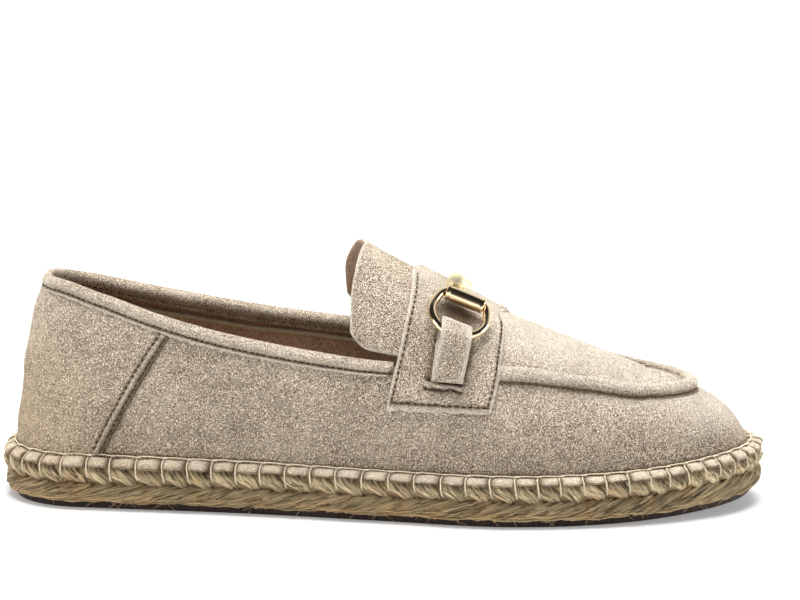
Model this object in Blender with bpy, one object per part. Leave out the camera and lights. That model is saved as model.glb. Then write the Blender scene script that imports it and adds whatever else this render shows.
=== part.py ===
"""Horsebit loafer on a braided rope sole: one right shoe, standing empty.

The shoe points along +X, its outer (lateral) side faces -Y and the floor is z = 0.
Everything soft is worked out from one surface, the last: ribs that climb from the
feather line, where the upper is sewn to the sole, to a ridge along the instep.
A place on it has a turn (0 heel, 0.25 outer side, 0.5 toe, 0.75 inner side) and a
climb (0 feather line, 1 ridge). Sizes are in metres and tables in millimetres.
"""
import bmesh
import bpy
import numpy as np
from mathutils import Vector

MM = 0.001
GAP = 0.3 * MM                 # between pieces that touch on the real shoe
OUTER, INNER = -1, 1           # the two sides of the foot, along Y

# ---------------------------------------------------------------- driving sizes
SOLE_LENGTH = 260 * MM
HEEL_ROUND, HEEL_POWER = 30 * MM, 2.2      # length and squareness of the outline's ends
TOE_ROUND, TOE_POWER = 92 * MM, 2.25
TOE_SPRING = 4 * MM
SPRING_FROM = 190 * MM                     # the sole is flat on the floor up to here

OUTSOLE_THICK, OUTSOLE_EDGE = 2.5 * MM, 0.7 * MM  # its lower edge is rounded by so much
OUTSOLE_INSET = 4 * MM
ROPE_TOP = 14.9 * MM
ROPE_LOBE = 8 * MM                         # length of one lobe of the braid
ROPE_LOBE_DEPTH = 0.9 * MM
INSOLE_THICK, INSOLE_EDGE = 2.6 * MM, 0.8 * MM

WALL = 1.8 * MM                            # suede and lining together
FLANGE = 5 * MM                            # the upper's hem, sewn down on the rope
FLANGE_EDGE = 0.8 * MM                     # from the sole's outline to the hem's edge
FEATHER_HEIGHT = 17 * MM
SPINE_HEEL, SPINE_TOE = 34 * MM, 220 * MM  # ends of the ridge that the ribs climb to
THROAT = 0.60                              # share of the length where the vamp closes

BINDING_THICK, BINDING_DEEP = 1.0 * MM, 4.2 * MM
BINDING_RAKE = 0.012                       # its ends slant with the strap's edge, share of turn
BINDING_END = 0.530                        # share of the length where it meets the strap
BINDING_RISE = 1.5 * MM                    # its fold above the upper's cut edge
COUNTER_THICK = 0.8 * MM
COUNTER_HEM, COUNTER_TOP = 0.02, 0.5 * MM  # its lower edge's climb, and its top below the binding
COUNTER_SEAM = 0.145, 0.380                # its side seams' along, at the hem and at the ridge
RIDGE_WIDE, RIDGE_HIGH = 5.0 * MM, 2.3 * MM
RIDGE_FROM = 0.688                         # share of the length where it leaves the strap
TONGUE_THICK, TONGUE_FLARE = 2.0 * MM, 1.2 * MM
TONGUE_BACK, TONGUE_CORNER = 0.12, 0.05    # its lower edge's along, and its corner's climb
TONGUE_CLEAR = 0.03, 0.02                  # climb above the topline at its front, and more behind
STRAP_ALONG = 0.52, 0.66                   # share of the length at the strap's ends, rear and front
STRAP_THICK = 1.8 * MM
STRAP_END = {OUTER: 37.2 * MM, INNER: 28.2 * MM}  # the strap's ends stop at these heights

RING_RADIUS, RING_WIRE = 9.4 * MM, 1.45 * MM
RING_END = 0.9 * MM                       # between its ends and the barrel's
BARREL_LONG, BARREL_RADIUS = 13.4 * MM, 2.7 * MM
BARREL_UP = 7.2 * MM                       # barrel's axis from the ring's centre
RING_ALONG = 0.625                         # where the rings lie on the strap
RING_CLIMB = {OUTER: 0.695, INNER: 0.465}
RING_REACH, RING_REACH_UP = 0.036, 0.13    # from a ring's middle to where it bears on the strap
RING_STANDOFF = 6.0 * MM                   # from the last to the ring's middle
RING_LEAN = np.radians(4)                  # how far a ring's front is turned up
KEEPER_WIDE, KEEPER_THICK = 10.2 * MM, 1.0 * MM
KEEPER_SLIT = {OUTER: 0.37, INNER: 0.19}   # climb of the slit that the tab comes out of
KEEPER_SIDE, KEEPER_DRIFT = -0.2 * MM, 0.6 * MM  # fold ahead of the ring's middle, and of the slit
KEEPER_FOLD = 0.083                        # climb from its fold to the ring's middle
KEEPER_HEAD, KEEPER_KNEE = -5.9 * MM, 1.5 * MM  # its fold from the ring's middle, its bend past the wire
ARM_THICK, ARM_THIN = 3.5 * MM, 1.3 * MM   # radii of an arm: its knob at the ring, its bar
KNOB_LONG = 9 * MM                         # from the knob's middle to where the bar is plain
ARM_CLEAR = 0.5 * MM                       # between an arm and the strap
ARM_LIFT = {OUTER: 0.6 * MM, INNER: 0.1 * MM}  # how much more than that at the ring
ARM_BACK = {OUTER: -0.2 * MM, INNER: 3.5 * MM}  # from the barrel's middle back to the arm's
ARM_SWEEP = {OUTER: 1.0, INNER: 2.2}       # how soon an arm draws level with the link
LINK_RADIUS, LINK_ALONG = 1.5 * MM, 0.640

# --------------------------------------------------------------- short tables, mm
SOLE_PLAN = np.array([   # along, outer half width, inner half width, centre line's drift inward
    (0.00, 30.0, 30.0, 0.0),
    (0.13, 32.0, 32.0, 0.0),
    (0.32, 34.5, 31.5, 0.0),
    (0.50, 40.0, 33.0, 0.3),
    (0.68, 46.0, 42.0, 1.5),
    (0.82, 46.0, 45.5, 4.5),
    (1.00, 43.0, 44.0, 7.0)])
PLAN_OUTER, PLAN_INNER, PLAN_DRIFT = 1, 2, 3

INSTEP = np.array([      # distance from the heel, height of the last's ridge there
    (34.0, 97.0),
    (70.0, 97.0),
    (105.0, 94.0),
    (127.0, 86.3),
    (146.0, 76.3),
    (164.0, 67.1),
    (183.0, 59.1),
    (201.0, 52.2),
    (220.0, 45.8)])

LAST_RIBS = np.array([   # along, squareness at the side, squareness at the top
    (0.00, 1.72, 2.00),
    (0.20, 2.05, 2.00),
    (0.38, 2.35, 2.00),
    (0.50, 2.50, 2.00),
    (0.60, 2.55, 2.00),
    (0.70, 2.60, 2.05),
    (0.80, 2.60, 2.10),
    (0.90, 2.30, 2.00),
    (1.00, 1.30, 1.40)])
RIB_SIDE, RIB_TOP = 1, 2

SHOULDER = np.array([    # along, outer height, inner height: the topline, then the apron's seam
    (0.00, 75.0, 75.0),
    (0.04, 74.5, 72.7),
    (0.12, 70.7, 68.7),
    (0.20, 65.1, 65.2),
    (0.30, 59.2, 61.1),
    (0.40, 55.1, 57.7),
    (0.50, 52.2, 54.9),
    (0.60, 50.8, 52.9),
    (0.70, 49.2, 50.2),
    (0.80, 45.4, 46.0),
    (0.90, 40.9, 41.3),
    (1.00, 39.6, 39.6)])
SHOULDER_OUTER, SHOULDER_INNER = 1, 2

ROPE_SIDE = np.array([   # height, inset from the outline, lobe (0 to 1), slant along the outline
    (2.8, 3.2, 0.0, -1.6),
    (3.7, 1.4, 0.5, -1.2),
    (5.6, 0.7, 1.0, 0.0),
    (7.6, 1.1, 0.5, 1.2),
    (8.5, 2.0, 0.0, 1.6),
    (9.4, 0.9, 0.5, 1.2),
    (11.4, 0.0, 1.0, 0.0),
    (13.6, 0.5, 0.5, -1.2),
    (14.9, 2.0, 0.0, -1.6)])

TONGUE_REAR = np.array([  # climb, rear edge's x on the outer side and on the inner side
    (0.40, 122.8, 116.2),
    (0.57, 122.5, 115.8),
    (0.75, 123.4, 119.0),
    (1.00, 124.6, 124.6)])
TONGUE_OUTER, TONGUE_INNER = 1, 2

STRAP_EDGES = np.array([  # climb, rear edge's x, front edge's x
    (0.20, 135.4, 169.5),
    (0.50, 140.2, 173.0),
    (0.75, 141.9, 173.4),
    (1.00, 140.8, 170.9)])
STRAP_REAR, STRAP_FRONT = 1, 2

COLOURS = {              # base colour, roughness, metallic
    "suede": ((0.50, 0.42, 0.33), 0.95, 0.0),
    "suede_light": ((0.56, 0.48, 0.38), 0.95, 0.0),
    "lining": ((0.20, 0.13, 0.09), 0.90, 0.0),
    "jute": ((0.52, 0.42, 0.25), 0.95, 0.0),
    "rubber": ((0.055, 0.030, 0.024), 0.60, 0.0),
    "gold": ((0.90, 0.62, 0.30), 0.15, 1.0)}


# ----------------------------------------------------------------- plan of the sole
def from_table(table, column, at):
    """A column of a table read at any place: a cubic through its rows that never overshoots."""
    x, y = table[:, 0], table[:, column]
    step = np.diff(x)
    rise = np.diff(y) / step
    slope = np.zeros_like(y)
    slope[0], slope[-1] = rise[0], rise[-1]
    before, after = 2 * step[1:] + step[:-1], step[1:] + 2 * step[:-1]
    steady = rise[:-1] * rise[1:] > 0
    slope[1:-1][steady] = ((before + after)[steady]
                           / (before[steady] / rise[:-1][steady] + after[steady] / rise[1:][steady]))
    at = np.clip(at, x[0], x[-1])
    i = np.clip(np.searchsorted(x, at) - 1, 0, len(x) - 2)
    t = (at - x[i]) / step[i]
    return (y[i] * (1 + 2 * t) * (1 - t) ** 2 + step[i] * slope[i] * t * (1 - t) ** 2
            + y[i + 1] * t * t * (3 - 2 * t) + step[i] * slope[i + 1] * t * t * (t - 1))


def along_of(turn):
    """Share of the length at a turn: the ends are approached as on a circle."""
    return (1 - np.cos(2 * np.pi * turn)) / 2


def turn_of(along, side):
    """The turn at a share of the length, on the outer or the inner side."""
    half = np.arccos(1 - 2 * np.asarray(along)) / (2 * np.pi)
    return np.where(np.asarray(side) == OUTER, half, 1 - half)


def sole_outline(turn):
    """Plan of the sole: half widths from the table, closed by a superellipse at each end."""
    along = along_of(turn)
    x = along * SOLE_LENGTH
    heel = np.clip(1 - x / HEEL_ROUND, 0, 1)
    toe = np.clip(1 - (SOLE_LENGTH - x) / TOE_ROUND, 0, 1)
    closing = (1 - heel ** HEEL_POWER) ** (1 / HEEL_POWER) * (1 - toe ** TOE_POWER) ** (1 / TOE_POWER)
    outer = turn % 1 <= 0.5
    half = np.where(outer, -from_table(SOLE_PLAN, PLAN_OUTER, along),
                    from_table(SOLE_PLAN, PLAN_INNER, along))
    y = from_table(SOLE_PLAN, PLAN_DRIFT, along) + half * closing
    return np.stack([x, y * MM], -1)


def inset_outline(turn, inset, step=0.0007):
    """The outline moved inward, square to its own direction."""
    ahead = sole_outline(turn + step) - sole_outline(turn - step)
    ahead /= np.linalg.norm(ahead, axis=-1, keepdims=True)
    inward = np.stack([-ahead[..., 1], ahead[..., 0]], -1)
    return sole_outline(turn) + inward * np.asarray(inset)[..., None]


def lift(x):
    """Height that the toe spring adds: a parabola from the ball forward."""
    return TOE_SPRING * np.clip((x - SPRING_FROM) / (SOLE_LENGTH - SPRING_FROM), 0, 1) ** 2


def even_turns(count):
    """Turns of points spaced evenly by length round the outline."""
    fine = np.linspace(0, 1, 1441)
    steps = np.linalg.norm(np.diff(sole_outline(fine), axis=0), axis=1)
    run = np.concatenate([[0], np.cumsum(steps)])
    return np.interp(np.arange(count) * run[-1] / count, run, fine), run[-1]


# ------------------------------------------------------------------------ the last
def last_point(turn, climb):
    """A rib from the feather line to the ridge: a quarter of a superellipse.

    Its height is a share of the ridge's height at the same distance from the heel.
    """
    turn, climb = np.broadcast_arrays(turn, climb)
    foot = inset_outline(turn, FLANGE)
    along = along_of(turn)
    spine_x = SPINE_HEEL + (SPINE_TOE - SPINE_HEEL) * along
    spine_y = from_table(SOLE_PLAN, PLAN_DRIFT, spine_x / SOLE_LENGTH) * MM
    angle = np.clip(climb, 0, 1) * np.pi / 2
    inward = 1 - np.cos(angle) ** (2 / from_table(LAST_RIBS, RIB_SIDE, along))
    upward = np.sin(angle) ** (2 / from_table(LAST_RIBS, RIB_TOP, along))
    x = foot[..., 0] + (spine_x - foot[..., 0]) * inward
    y = foot[..., 1] + (spine_y - foot[..., 1]) * inward
    low = FEATHER_HEIGHT + lift(foot[..., 0])
    ridge = from_table(INSTEP, 1, x / MM) * MM
    return np.stack([x, y, low + (ridge - low) * upward], -1)


def on_last(turn, climb, out=0.0, step=0.0008):
    """A place on the last, moved out along the surface's own normal."""
    turn, climb = np.broadcast_arrays(np.asarray(turn, float), np.asarray(climb, float))
    around = last_point(turn + step, climb) - last_point(turn - step, climb)
    high, low = np.minimum(climb + step, 1), np.maximum(climb - step, 0)
    up = last_point(turn, high) - last_point(turn, low)
    normal = np.cross(around, up)
    normal /= np.linalg.norm(normal, axis=-1, keepdims=True)
    return last_point(turn, climb) + normal * np.asarray(out)[..., None]


def turn_at(x, climb, side):
    """The turn of the place that lies at a distance x from the heel, on a line of equal climb."""
    x, climb, side = np.broadcast_arrays(x, climb, side)
    along = (x - FLANGE) / (SOLE_LENGTH - 2 * FLANGE)
    for _ in range(8):
        along = along + (x - last_point(turn_of(along, side), climb)[..., 0]) / (SOLE_LENGTH * 0.9)
    return turn_of(along, side)


def climb_at_height(turn, height):
    """The climb where a rib reaches a height above the floor, closed in on by halving."""
    turn, height = np.broadcast_arrays(turn, height)
    low, high = np.zeros(turn.shape), np.ones(turn.shape)
    for _ in range(20):
        middle = (low + high) / 2
        under = last_point(turn, middle)[..., 2] < height
        low, high = np.where(under, middle, low), np.where(under, high, middle)
    return (low + high) / 2


def shoulder_climb(turn, below=0.0):
    """The climb of the topline and apron seam, or of a line that runs below it."""
    along = along_of(turn)
    height = np.where(turn % 1 <= 0.5, from_table(SHOULDER, SHOULDER_OUTER, along),
                      from_table(SHOULDER, SHOULDER_INNER, along))
    return climb_at_height(turn, height * MM - below)


# --------------------------------------------------------------------- mesh helpers
def clear_scene():
    for old in list(bpy.data.objects):
        bpy.data.objects.remove(old, do_unlink=True)


def plain_material(name):
    """One Principled material per finish, shared by the pieces made of it."""
    material = bpy.data.materials.get(name)
    if material is None:
        colour, roughness, metallic = COLOURS[name]
        material = bpy.data.materials.new(name)
        material.use_nodes = True
        shader = material.node_tree.nodes["Principled BSDF"]
        shader.inputs["Base Color"].default_value = (*colour, 1)
        shader.inputs["Roughness"].default_value = roughness
        shader.inputs["Metallic"].default_value = metallic
        material.diffuse_color = (*colour, 1)
    return material


def add_piece(name, points, faces, finish, shoe, sharp=35, solid=True):
    """One named piece from points and faces, parented to the shoe."""
    mesh = bpy.data.meshes.new(name)
    mesh.from_pydata([Vector(p) for p in points], [], faces)
    if solid:
        shell = bmesh.new()
        shell.from_mesh(mesh)
        bmesh.ops.recalc_face_normals(shell, faces=shell.faces)
        shell.to_mesh(mesh)
        shell.free()
    mesh.shade_smooth()
    mesh.set_sharp_from_angle(angle=np.radians(sharp))
    mesh.materials.append(plain_material(finish))
    piece = bpy.data.objects.new(name, mesh)
    piece.parent = shoe
    bpy.context.scene.collection.objects.link(piece)
    return piece


def grid_faces(rows, columns, closed_rows=False, closed_columns=False):
    """Four-sided faces of a grid whose points are stored row by row."""
    r = np.arange(rows if closed_rows else rows - 1)
    c = np.arange(columns if closed_columns else columns - 1)
    r, c = (a.ravel() for a in np.meshgrid(r, c, indexing="ij"))
    next_r, next_c = (r + 1) % rows, (c + 1) % columns
    corners = [r * columns + c, r * columns + next_c, next_r * columns + next_c, next_r * columns + c]
    return np.stack(corners, -1).tolist()


def swept(name, sections, finish, shoe, closed=False, sharp=35):
    """A solid swept through closed sections, given as an array (section, point, xyz)."""
    count, corners = sections.shape[:2]
    faces = grid_faces(count, corners, closed_rows=closed, closed_columns=True)
    if not closed:
        faces.append(list(range(corners)))
        faces.append([(count - 1) * corners + k for k in range(corners)])
    return add_piece(name, sections.reshape(-1, 3), faces, finish, shoe, sharp)


def cap(loop, x):
    """Closes a level loop round the sole: one flat face to the ball, then rungs up the spring."""
    count = len(loop)
    half = count // 2
    flat = max(i for i in range(1, half) if max(x[i], x[count - i]) < SPRING_FROM)
    faces = [loop[count - flat:] + loop[:flat + 1]]
    faces += [[loop[i], loop[i + 1], loop[count - i - 1], loop[count - i]] for i in range(flat, half - 1)]
    faces.append([loop[half - 1], loop[half], loop[half + 1]])
    return faces


def stacked(name, loops, finish, shoe, sharp=35):
    """A solid lofted upward through loops round the sole, closed at the bottom and the top."""
    levels, count = loops.shape[:2]
    faces = grid_faces(levels, count, closed_columns=True)
    faces += cap(list(range(count)), loops[0, :, 0])
    faces += cap([(levels - 1) * count + k for k in range(count)], loops[-1, :, 0])
    return add_piece(name, loops.reshape(-1, 3), faces, finish, shoe, sharp)


def level_loop(turns, inset, height):
    """A loop round the sole at a height above its underside, raised by the toe spring."""
    plan = inset_outline(turns, np.full(turns.shape, inset))
    return np.column_stack([plan, height + lift(plan[:, 0])])


def thicken(piece, thickness, outward=True):
    """Gives an open sheet its thickness, to the outer or the inner side only."""
    solidify = piece.modifiers.new("thickness", "SOLIDIFY")
    solidify.thickness = thickness
    solidify.offset = 1 if outward else -1
    solidify.use_even_offset = True


def sheet(name, points, finish, shoe, thickness, outward):
    """An open grid of points (row, column, xyz), thickened into a solid.

    Seen from outside the shoe, its columns run to the right and its rows upward.
    """
    rows, columns = points.shape[:2]
    faces = grid_faces(rows, columns)
    piece = add_piece(name, points.reshape(-1, 3), faces, finish, shoe, solid=False)
    thicken(piece, thickness, outward)
    return piece


# -------------------------------------------------------------------------- the sole
def make_outsole(shoe):
    """Thin rubber sheet under the rope, its lower edge rounded."""
    turns, _ = even_turns(58)
    loops = np.stack([level_loop(turns, OUTSOLE_INSET + OUTSOLE_EDGE, 0),
                      level_loop(turns, OUTSOLE_INSET, OUTSOLE_EDGE),
                      level_loop(turns, OUTSOLE_INSET - OUTSOLE_EDGE / 2, OUTSOLE_THICK)])
    return stacked("outsole", loops, "rubber", shoe)


def make_rope_sole(shoe):
    """Two braided courses, one on the other, with slanted lobes down the side."""
    _, length = even_turns(4)
    lobes = int(round(length / ROPE_LOBE))
    count = 2 * lobes
    turns, _ = even_turns(count)
    fine = np.append(turns, 1)
    hollow = ROPE_LOBE_DEPTH * (np.arange(count) % 2)
    loops = []
    for height, inset, lobe, slant in ROPE_SIDE:
        shift = slant * MM / (length / count)
        place = np.interp((np.arange(count) + shift) % count, np.arange(count + 1), fine)
        plan = inset_outline(place, inset * MM + lobe * hollow)
        loops.append(np.column_stack([plan, height * MM + lift(plan[:, 0])]))
    return stacked("rope_sole", np.stack(loops), "jute", shoe, sharp=60)


def make_insole(shoe):
    """Padded sock on the rope, inside the upper's wall."""
    turns, _ = even_turns(58)
    inset = FLANGE + WALL + 2 * GAP
    low = ROPE_TOP + GAP
    loops = np.stack([level_loop(turns, inset, low),
                      level_loop(turns, inset, low + INSOLE_THICK - INSOLE_EDGE),
                      level_loop(turns, inset + INSOLE_EDGE, low + INSOLE_THICK)])
    return stacked("insole", loops, "lining", shoe)


# ------------------------------------------------------------------------- the upper
def make_upper(shoe):
    """One hollow wall: hem on the rope, sides up to the topline, and the closed vamp.

    Columns go once round the foot. Behind the throat they end at the topline, and in
    front of it each goes on over the apron to the ridge, where it meets its opposite.
    """
    throat_turn = float(turn_of(THROAT, OUTER))
    rear = np.linspace(0, throat_turn, 28)
    front = np.linspace(throat_turn, 0.5, 21)
    half = np.concatenate([rear, front[1:]])
    turns = np.concatenate([half, 1 - half[-2:0:-1]])
    count, throat_column = len(turns), len(rear) - 1

    hem = level_loop(turns, FLANGE_EDGE, FEATHER_HEIGHT)
    shoulder = shoulder_climb(turns)
    shares = np.array([0, 0.10, 0.25, 0.42, 0.60, 0.80, 1.0])
    wall = last_point(turns[None], shares[:, None] * shoulder[None])
    points = [hem] + list(wall)
    faces = grid_faces(len(points), count, closed_columns=True)

    apron = np.arange(throat_column, count - throat_column + 1)
    above = 1 - (1 - shoulder[apron])[None] * np.array([0.72, 0.44, 0.2])[:, None]
    apron_points = last_point(turns[apron][None], above)
    ridge = last_point(turns[throat_column:count // 2 + 1], 1.0)
    first = len(points) * count
    span = len(apron)
    rows = [(len(points) - 1) * count + apron]
    rows += [first + k * span + np.arange(span) for k in range(len(above))]
    ridge_first = first + len(above) * span
    to_ridge = np.arange(span)
    rows.append(ridge_first + np.minimum(to_ridge, span - 1 - to_ridge))
    for low, high in zip(rows[:-1], rows[1:]):
        for k in range(span - 1):
            face = [low[k], low[k + 1], high[k + 1], high[k]]
            faces.append([int(i) for i in dict.fromkeys(face)])
    points = np.concatenate([np.concatenate(points), apron_points.reshape(-1, 3), ridge])
    piece = add_piece("upper", points, faces, "suede", shoe, solid=False)
    thicken(piece, WALL, outward=False)
    return piece


def make_heel_counter(shoe):
    """Panel round the heel, laid over the quarters, its side seams raked forward.

    Each corner is found first, where the seam meets the line below the binding.
    """
    across = np.linspace(1, -1, 17)[None]
    up = np.linspace(0, 1, 6)[:, None]
    low, high = COUNTER_SEAM
    top = np.full((1, 17), 0.4)
    for _ in range(3):
        climb = COUNTER_HEM + (top - COUNTER_HEM) * up
        turn = (-across * turn_of(low + (high - low) * climb, OUTER)) % 1
        top = shoulder_climb(turn[-1:], below=BINDING_DEEP + COUNTER_TOP)
    return sheet("heel_counter", on_last(turn, climb, 1.5 * GAP), "suede", shoe, COUNTER_THICK, True)


def make_collar_binding(shoe):
    """Strip folded over the topline, from the strap round the heel to the strap."""
    end = float(turn_of(BINDING_END, OUTER))
    turns = np.linspace(end, -end, 39)
    out, inn = GAP, -(WALL + GAP)
    thick = BINDING_THICK
    deep = BINDING_DEEP
    near, rise = 0.4 * deep, BINDING_RISE
    profile = [(-deep, out), (-deep, out + thick), (-near, out + thick * 1.1), (near / 4, out + thick * 0.8),
               (rise, (out + inn) / 2), (near / 4, inn - thick * 0.8), (-near, inn - thick),
               (-deep, inn - thick), (-deep, inn), (GAP, inn), (GAP, out)]
    rim = shoulder_climb(turns % 1)
    step = 0.01
    rise = last_point(turns, rim) - last_point(turns, rim - step)
    per_climb = np.linalg.norm(rise, axis=-1) / step
    upward = rise / np.linalg.norm(rise, axis=-1, keepdims=True)
    corners = []
    for up, away in profile:
        climb = rim + min(up, 0) / per_climb
        raked = turns * (1 + BINDING_RAKE * min(up, 0) / BINDING_DEEP)
        corners.append(on_last(raked, climb, away) + upward * max(up, 0))
    return swept("collar_binding", np.stack(corners, 1), "suede", shoe)


def make_apron_ridge(shoe):
    """Rolled seam round the apron, from the strap round the toe to the strap."""
    start = float(turn_of(RIDGE_FROM, OUTER))
    turns = np.linspace(start, 1 - start, 45)
    seam = shoulder_climb(turns)
    step = 0.01
    per_climb = np.linalg.norm(last_point(turns, seam) - last_point(turns, seam - step), axis=-1) / step
    profile = [(-1.0, GAP), (-0.8, 0.6 * RIDGE_HIGH), (-0.3, RIDGE_HIGH), (0.3, RIDGE_HIGH),
               (0.8, 0.6 * RIDGE_HIGH), (1.0, GAP), (0.0, GAP)]
    corners = [on_last(turns, seam + side * RIDGE_WIDE / 2 / per_climb, out) for side, out in profile]
    return swept("apron_ridge", np.stack(corners, 1), "suede", shoe)


def make_tongue(shoe):
    """Free end of the apron, arched over the instep and flared at its rear edge."""
    back = np.linspace(0, 1, 8)[:, None]
    across = np.linspace(-1, 1, 17)[None]
    front = THROAT - 0.003
    corner = np.clip((back - 0.75) / 0.25, 0, 1) ** 2.5
    side = np.where(across < 0, OUTER, INNER)
    clear, clear_behind = TONGUE_CLEAR
    edge = shoulder_climb(turn_of(front - TONGUE_BACK * back, side)) + clear
    edge = edge + clear_behind * back + TONGUE_CORNER * corner
    climb = 1 - (1 - edge) * np.abs(across)
    rear = np.where(across < 0, from_table(TONGUE_REAR, TONGUE_OUTER, climb),
                    from_table(TONGUE_REAR, TONGUE_INNER, climb)) * MM
    start = last_point(turn_of(front, side), climb)[..., 0]
    turn = turn_at(start + (rear - start) * back, climb, side)
    flare = TONGUE_FLARE * np.clip((back - 0.6) / 0.4, 0, 1) ** 2
    return sheet("tongue", on_last(turn, climb, flare), "suede", shoe, TONGUE_THICK, False)


def strap_place(across, forward):
    """Turn and climb on the strap: across -1 outer end to 1 inner end, forward 0 to 1."""
    across, forward = np.broadcast_arrays(np.asarray(across, float), np.asarray(forward, float))
    side = np.where(across < 0, OUTER, INNER)
    rear_along, front_along = STRAP_ALONG
    low = climb_at_height(turn_of(rear_along + (front_along - rear_along) * forward, side),
                          np.where(across < 0, STRAP_END[OUTER], STRAP_END[INNER]))
    climb = 1 - (1 - low) * np.abs(across)
    rear = from_table(STRAP_EDGES, STRAP_REAR, climb)
    ahead = from_table(STRAP_EDGES, STRAP_FRONT, climb)
    return turn_at((rear + (ahead - rear) * forward) * MM, climb, side), climb


def make_strap(shoe):
    """Saddle strap over the instep, sewn down at both ends."""
    turn, climb = strap_place(np.linspace(-1, 1, 27)[None], np.linspace(1, 0, 5)[:, None])
    return sheet("strap", on_last(turn, climb, GAP), "suede", shoe, STRAP_THICK, True)


# --------------------------------------------------------------------------- the bit
class BitFrame:
    """Place of one ring: a plate that rests on the strap at four points."""

    def __init__(self, side):
        turn = turn_of(RING_ALONG + RING_REACH * np.array([-1, 1, 0, 0]), side)
        climb = RING_CLIMB[side] + RING_REACH_UP * np.array([0, 0, -1, 1])
        rear, ahead, low, high = on_last(turn, climb)
        level = (ahead - rear) / np.linalg.norm(ahead - rear)
        rise = (high - low) - level * np.dot(high - low, level)
        rise /= np.linalg.norm(rise)
        self.forward = level * np.cos(RING_LEAN) + rise * np.sin(RING_LEAN)
        self.up = rise * np.cos(RING_LEAN) - level * np.sin(RING_LEAN)
        self.out = np.cross(self.forward, self.up) * -side
        self.centre = (rear + ahead + low + high) / 4 + self.out * RING_STANDOFF

    def at(self, forward, up, out=0.0):
        forward, up, out = np.broadcast_arrays(forward, up, out)
        return (self.centre + forward[..., None] * self.forward + up[..., None] * self.up
                + out[..., None] * self.out)


def tube_sections(path, radii, sides=10):
    """Round sections square to a path, with a frame carried along it without twist."""
    ahead = np.gradient(path, axis=0)
    ahead /= np.linalg.norm(ahead, axis=1, keepdims=True)
    first = np.cross(ahead[0], [0.0, 0.0, 1.0])
    if np.linalg.norm(first) < 0.1:
        first = np.cross(ahead[0], [0.0, 1.0, 0.0])
    sections = []
    spin = np.arange(sides) * 2 * np.pi / sides
    for point, direction, radius in zip(path, ahead, radii):
        first = first - direction * np.dot(first, direction)
        first /= np.linalg.norm(first)
        second = np.cross(direction, first)
        sections.append(point + radius * (np.cos(spin)[:, None] * first + np.sin(spin)[:, None] * second))
    return np.stack(sections)


def make_ring(shoe, frame, name):
    """The ring's wire: an arc, then a bend at each end that brings it onto the barrel's axis."""
    bend_from = np.radians(8)
    arc = np.linspace(np.pi - bend_from, 2 * np.pi + bend_from, 17)
    last = RING_RADIUS * np.array([np.cos(bend_from), np.sin(bend_from)])
    end = np.array([BARREL_LONG / 2 + RING_END, BARREL_UP])
    corner = np.array([last[0] - (BARREL_UP - last[1]) * np.tan(bend_from), BARREL_UP])
    t = np.linspace(0, 1, 7)[1:, None]
    bend = last * (1 - t) ** 2 + corner * 2 * t * (1 - t) + end * t ** 2
    mirror = np.array([-1, 1])
    plan = np.concatenate([bend[::-1] * mirror, RING_RADIUS * np.stack([np.cos(arc), np.sin(arc)], 1), bend])
    path = frame.at(plan[:, 0], plan[:, 1])
    return swept(name, tube_sections(path, np.full(len(path), RING_WIRE), 8), "gold", shoe)


def make_barrel(shoe, frame, name):
    """Turned barrel across the top of the ring, its ends chamfered."""
    chamfer = 0.6 * MM
    half = BARREL_LONG / 2
    stations = np.array([-half, -half + chamfer, half - chamfer, half])
    path = frame.at(stations, BARREL_UP)
    radii = BARREL_RADIUS - np.array([chamfer, 0, 0, chamfer])
    return swept(name, tube_sections(path, radii, 14), "gold", shoe)


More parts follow.
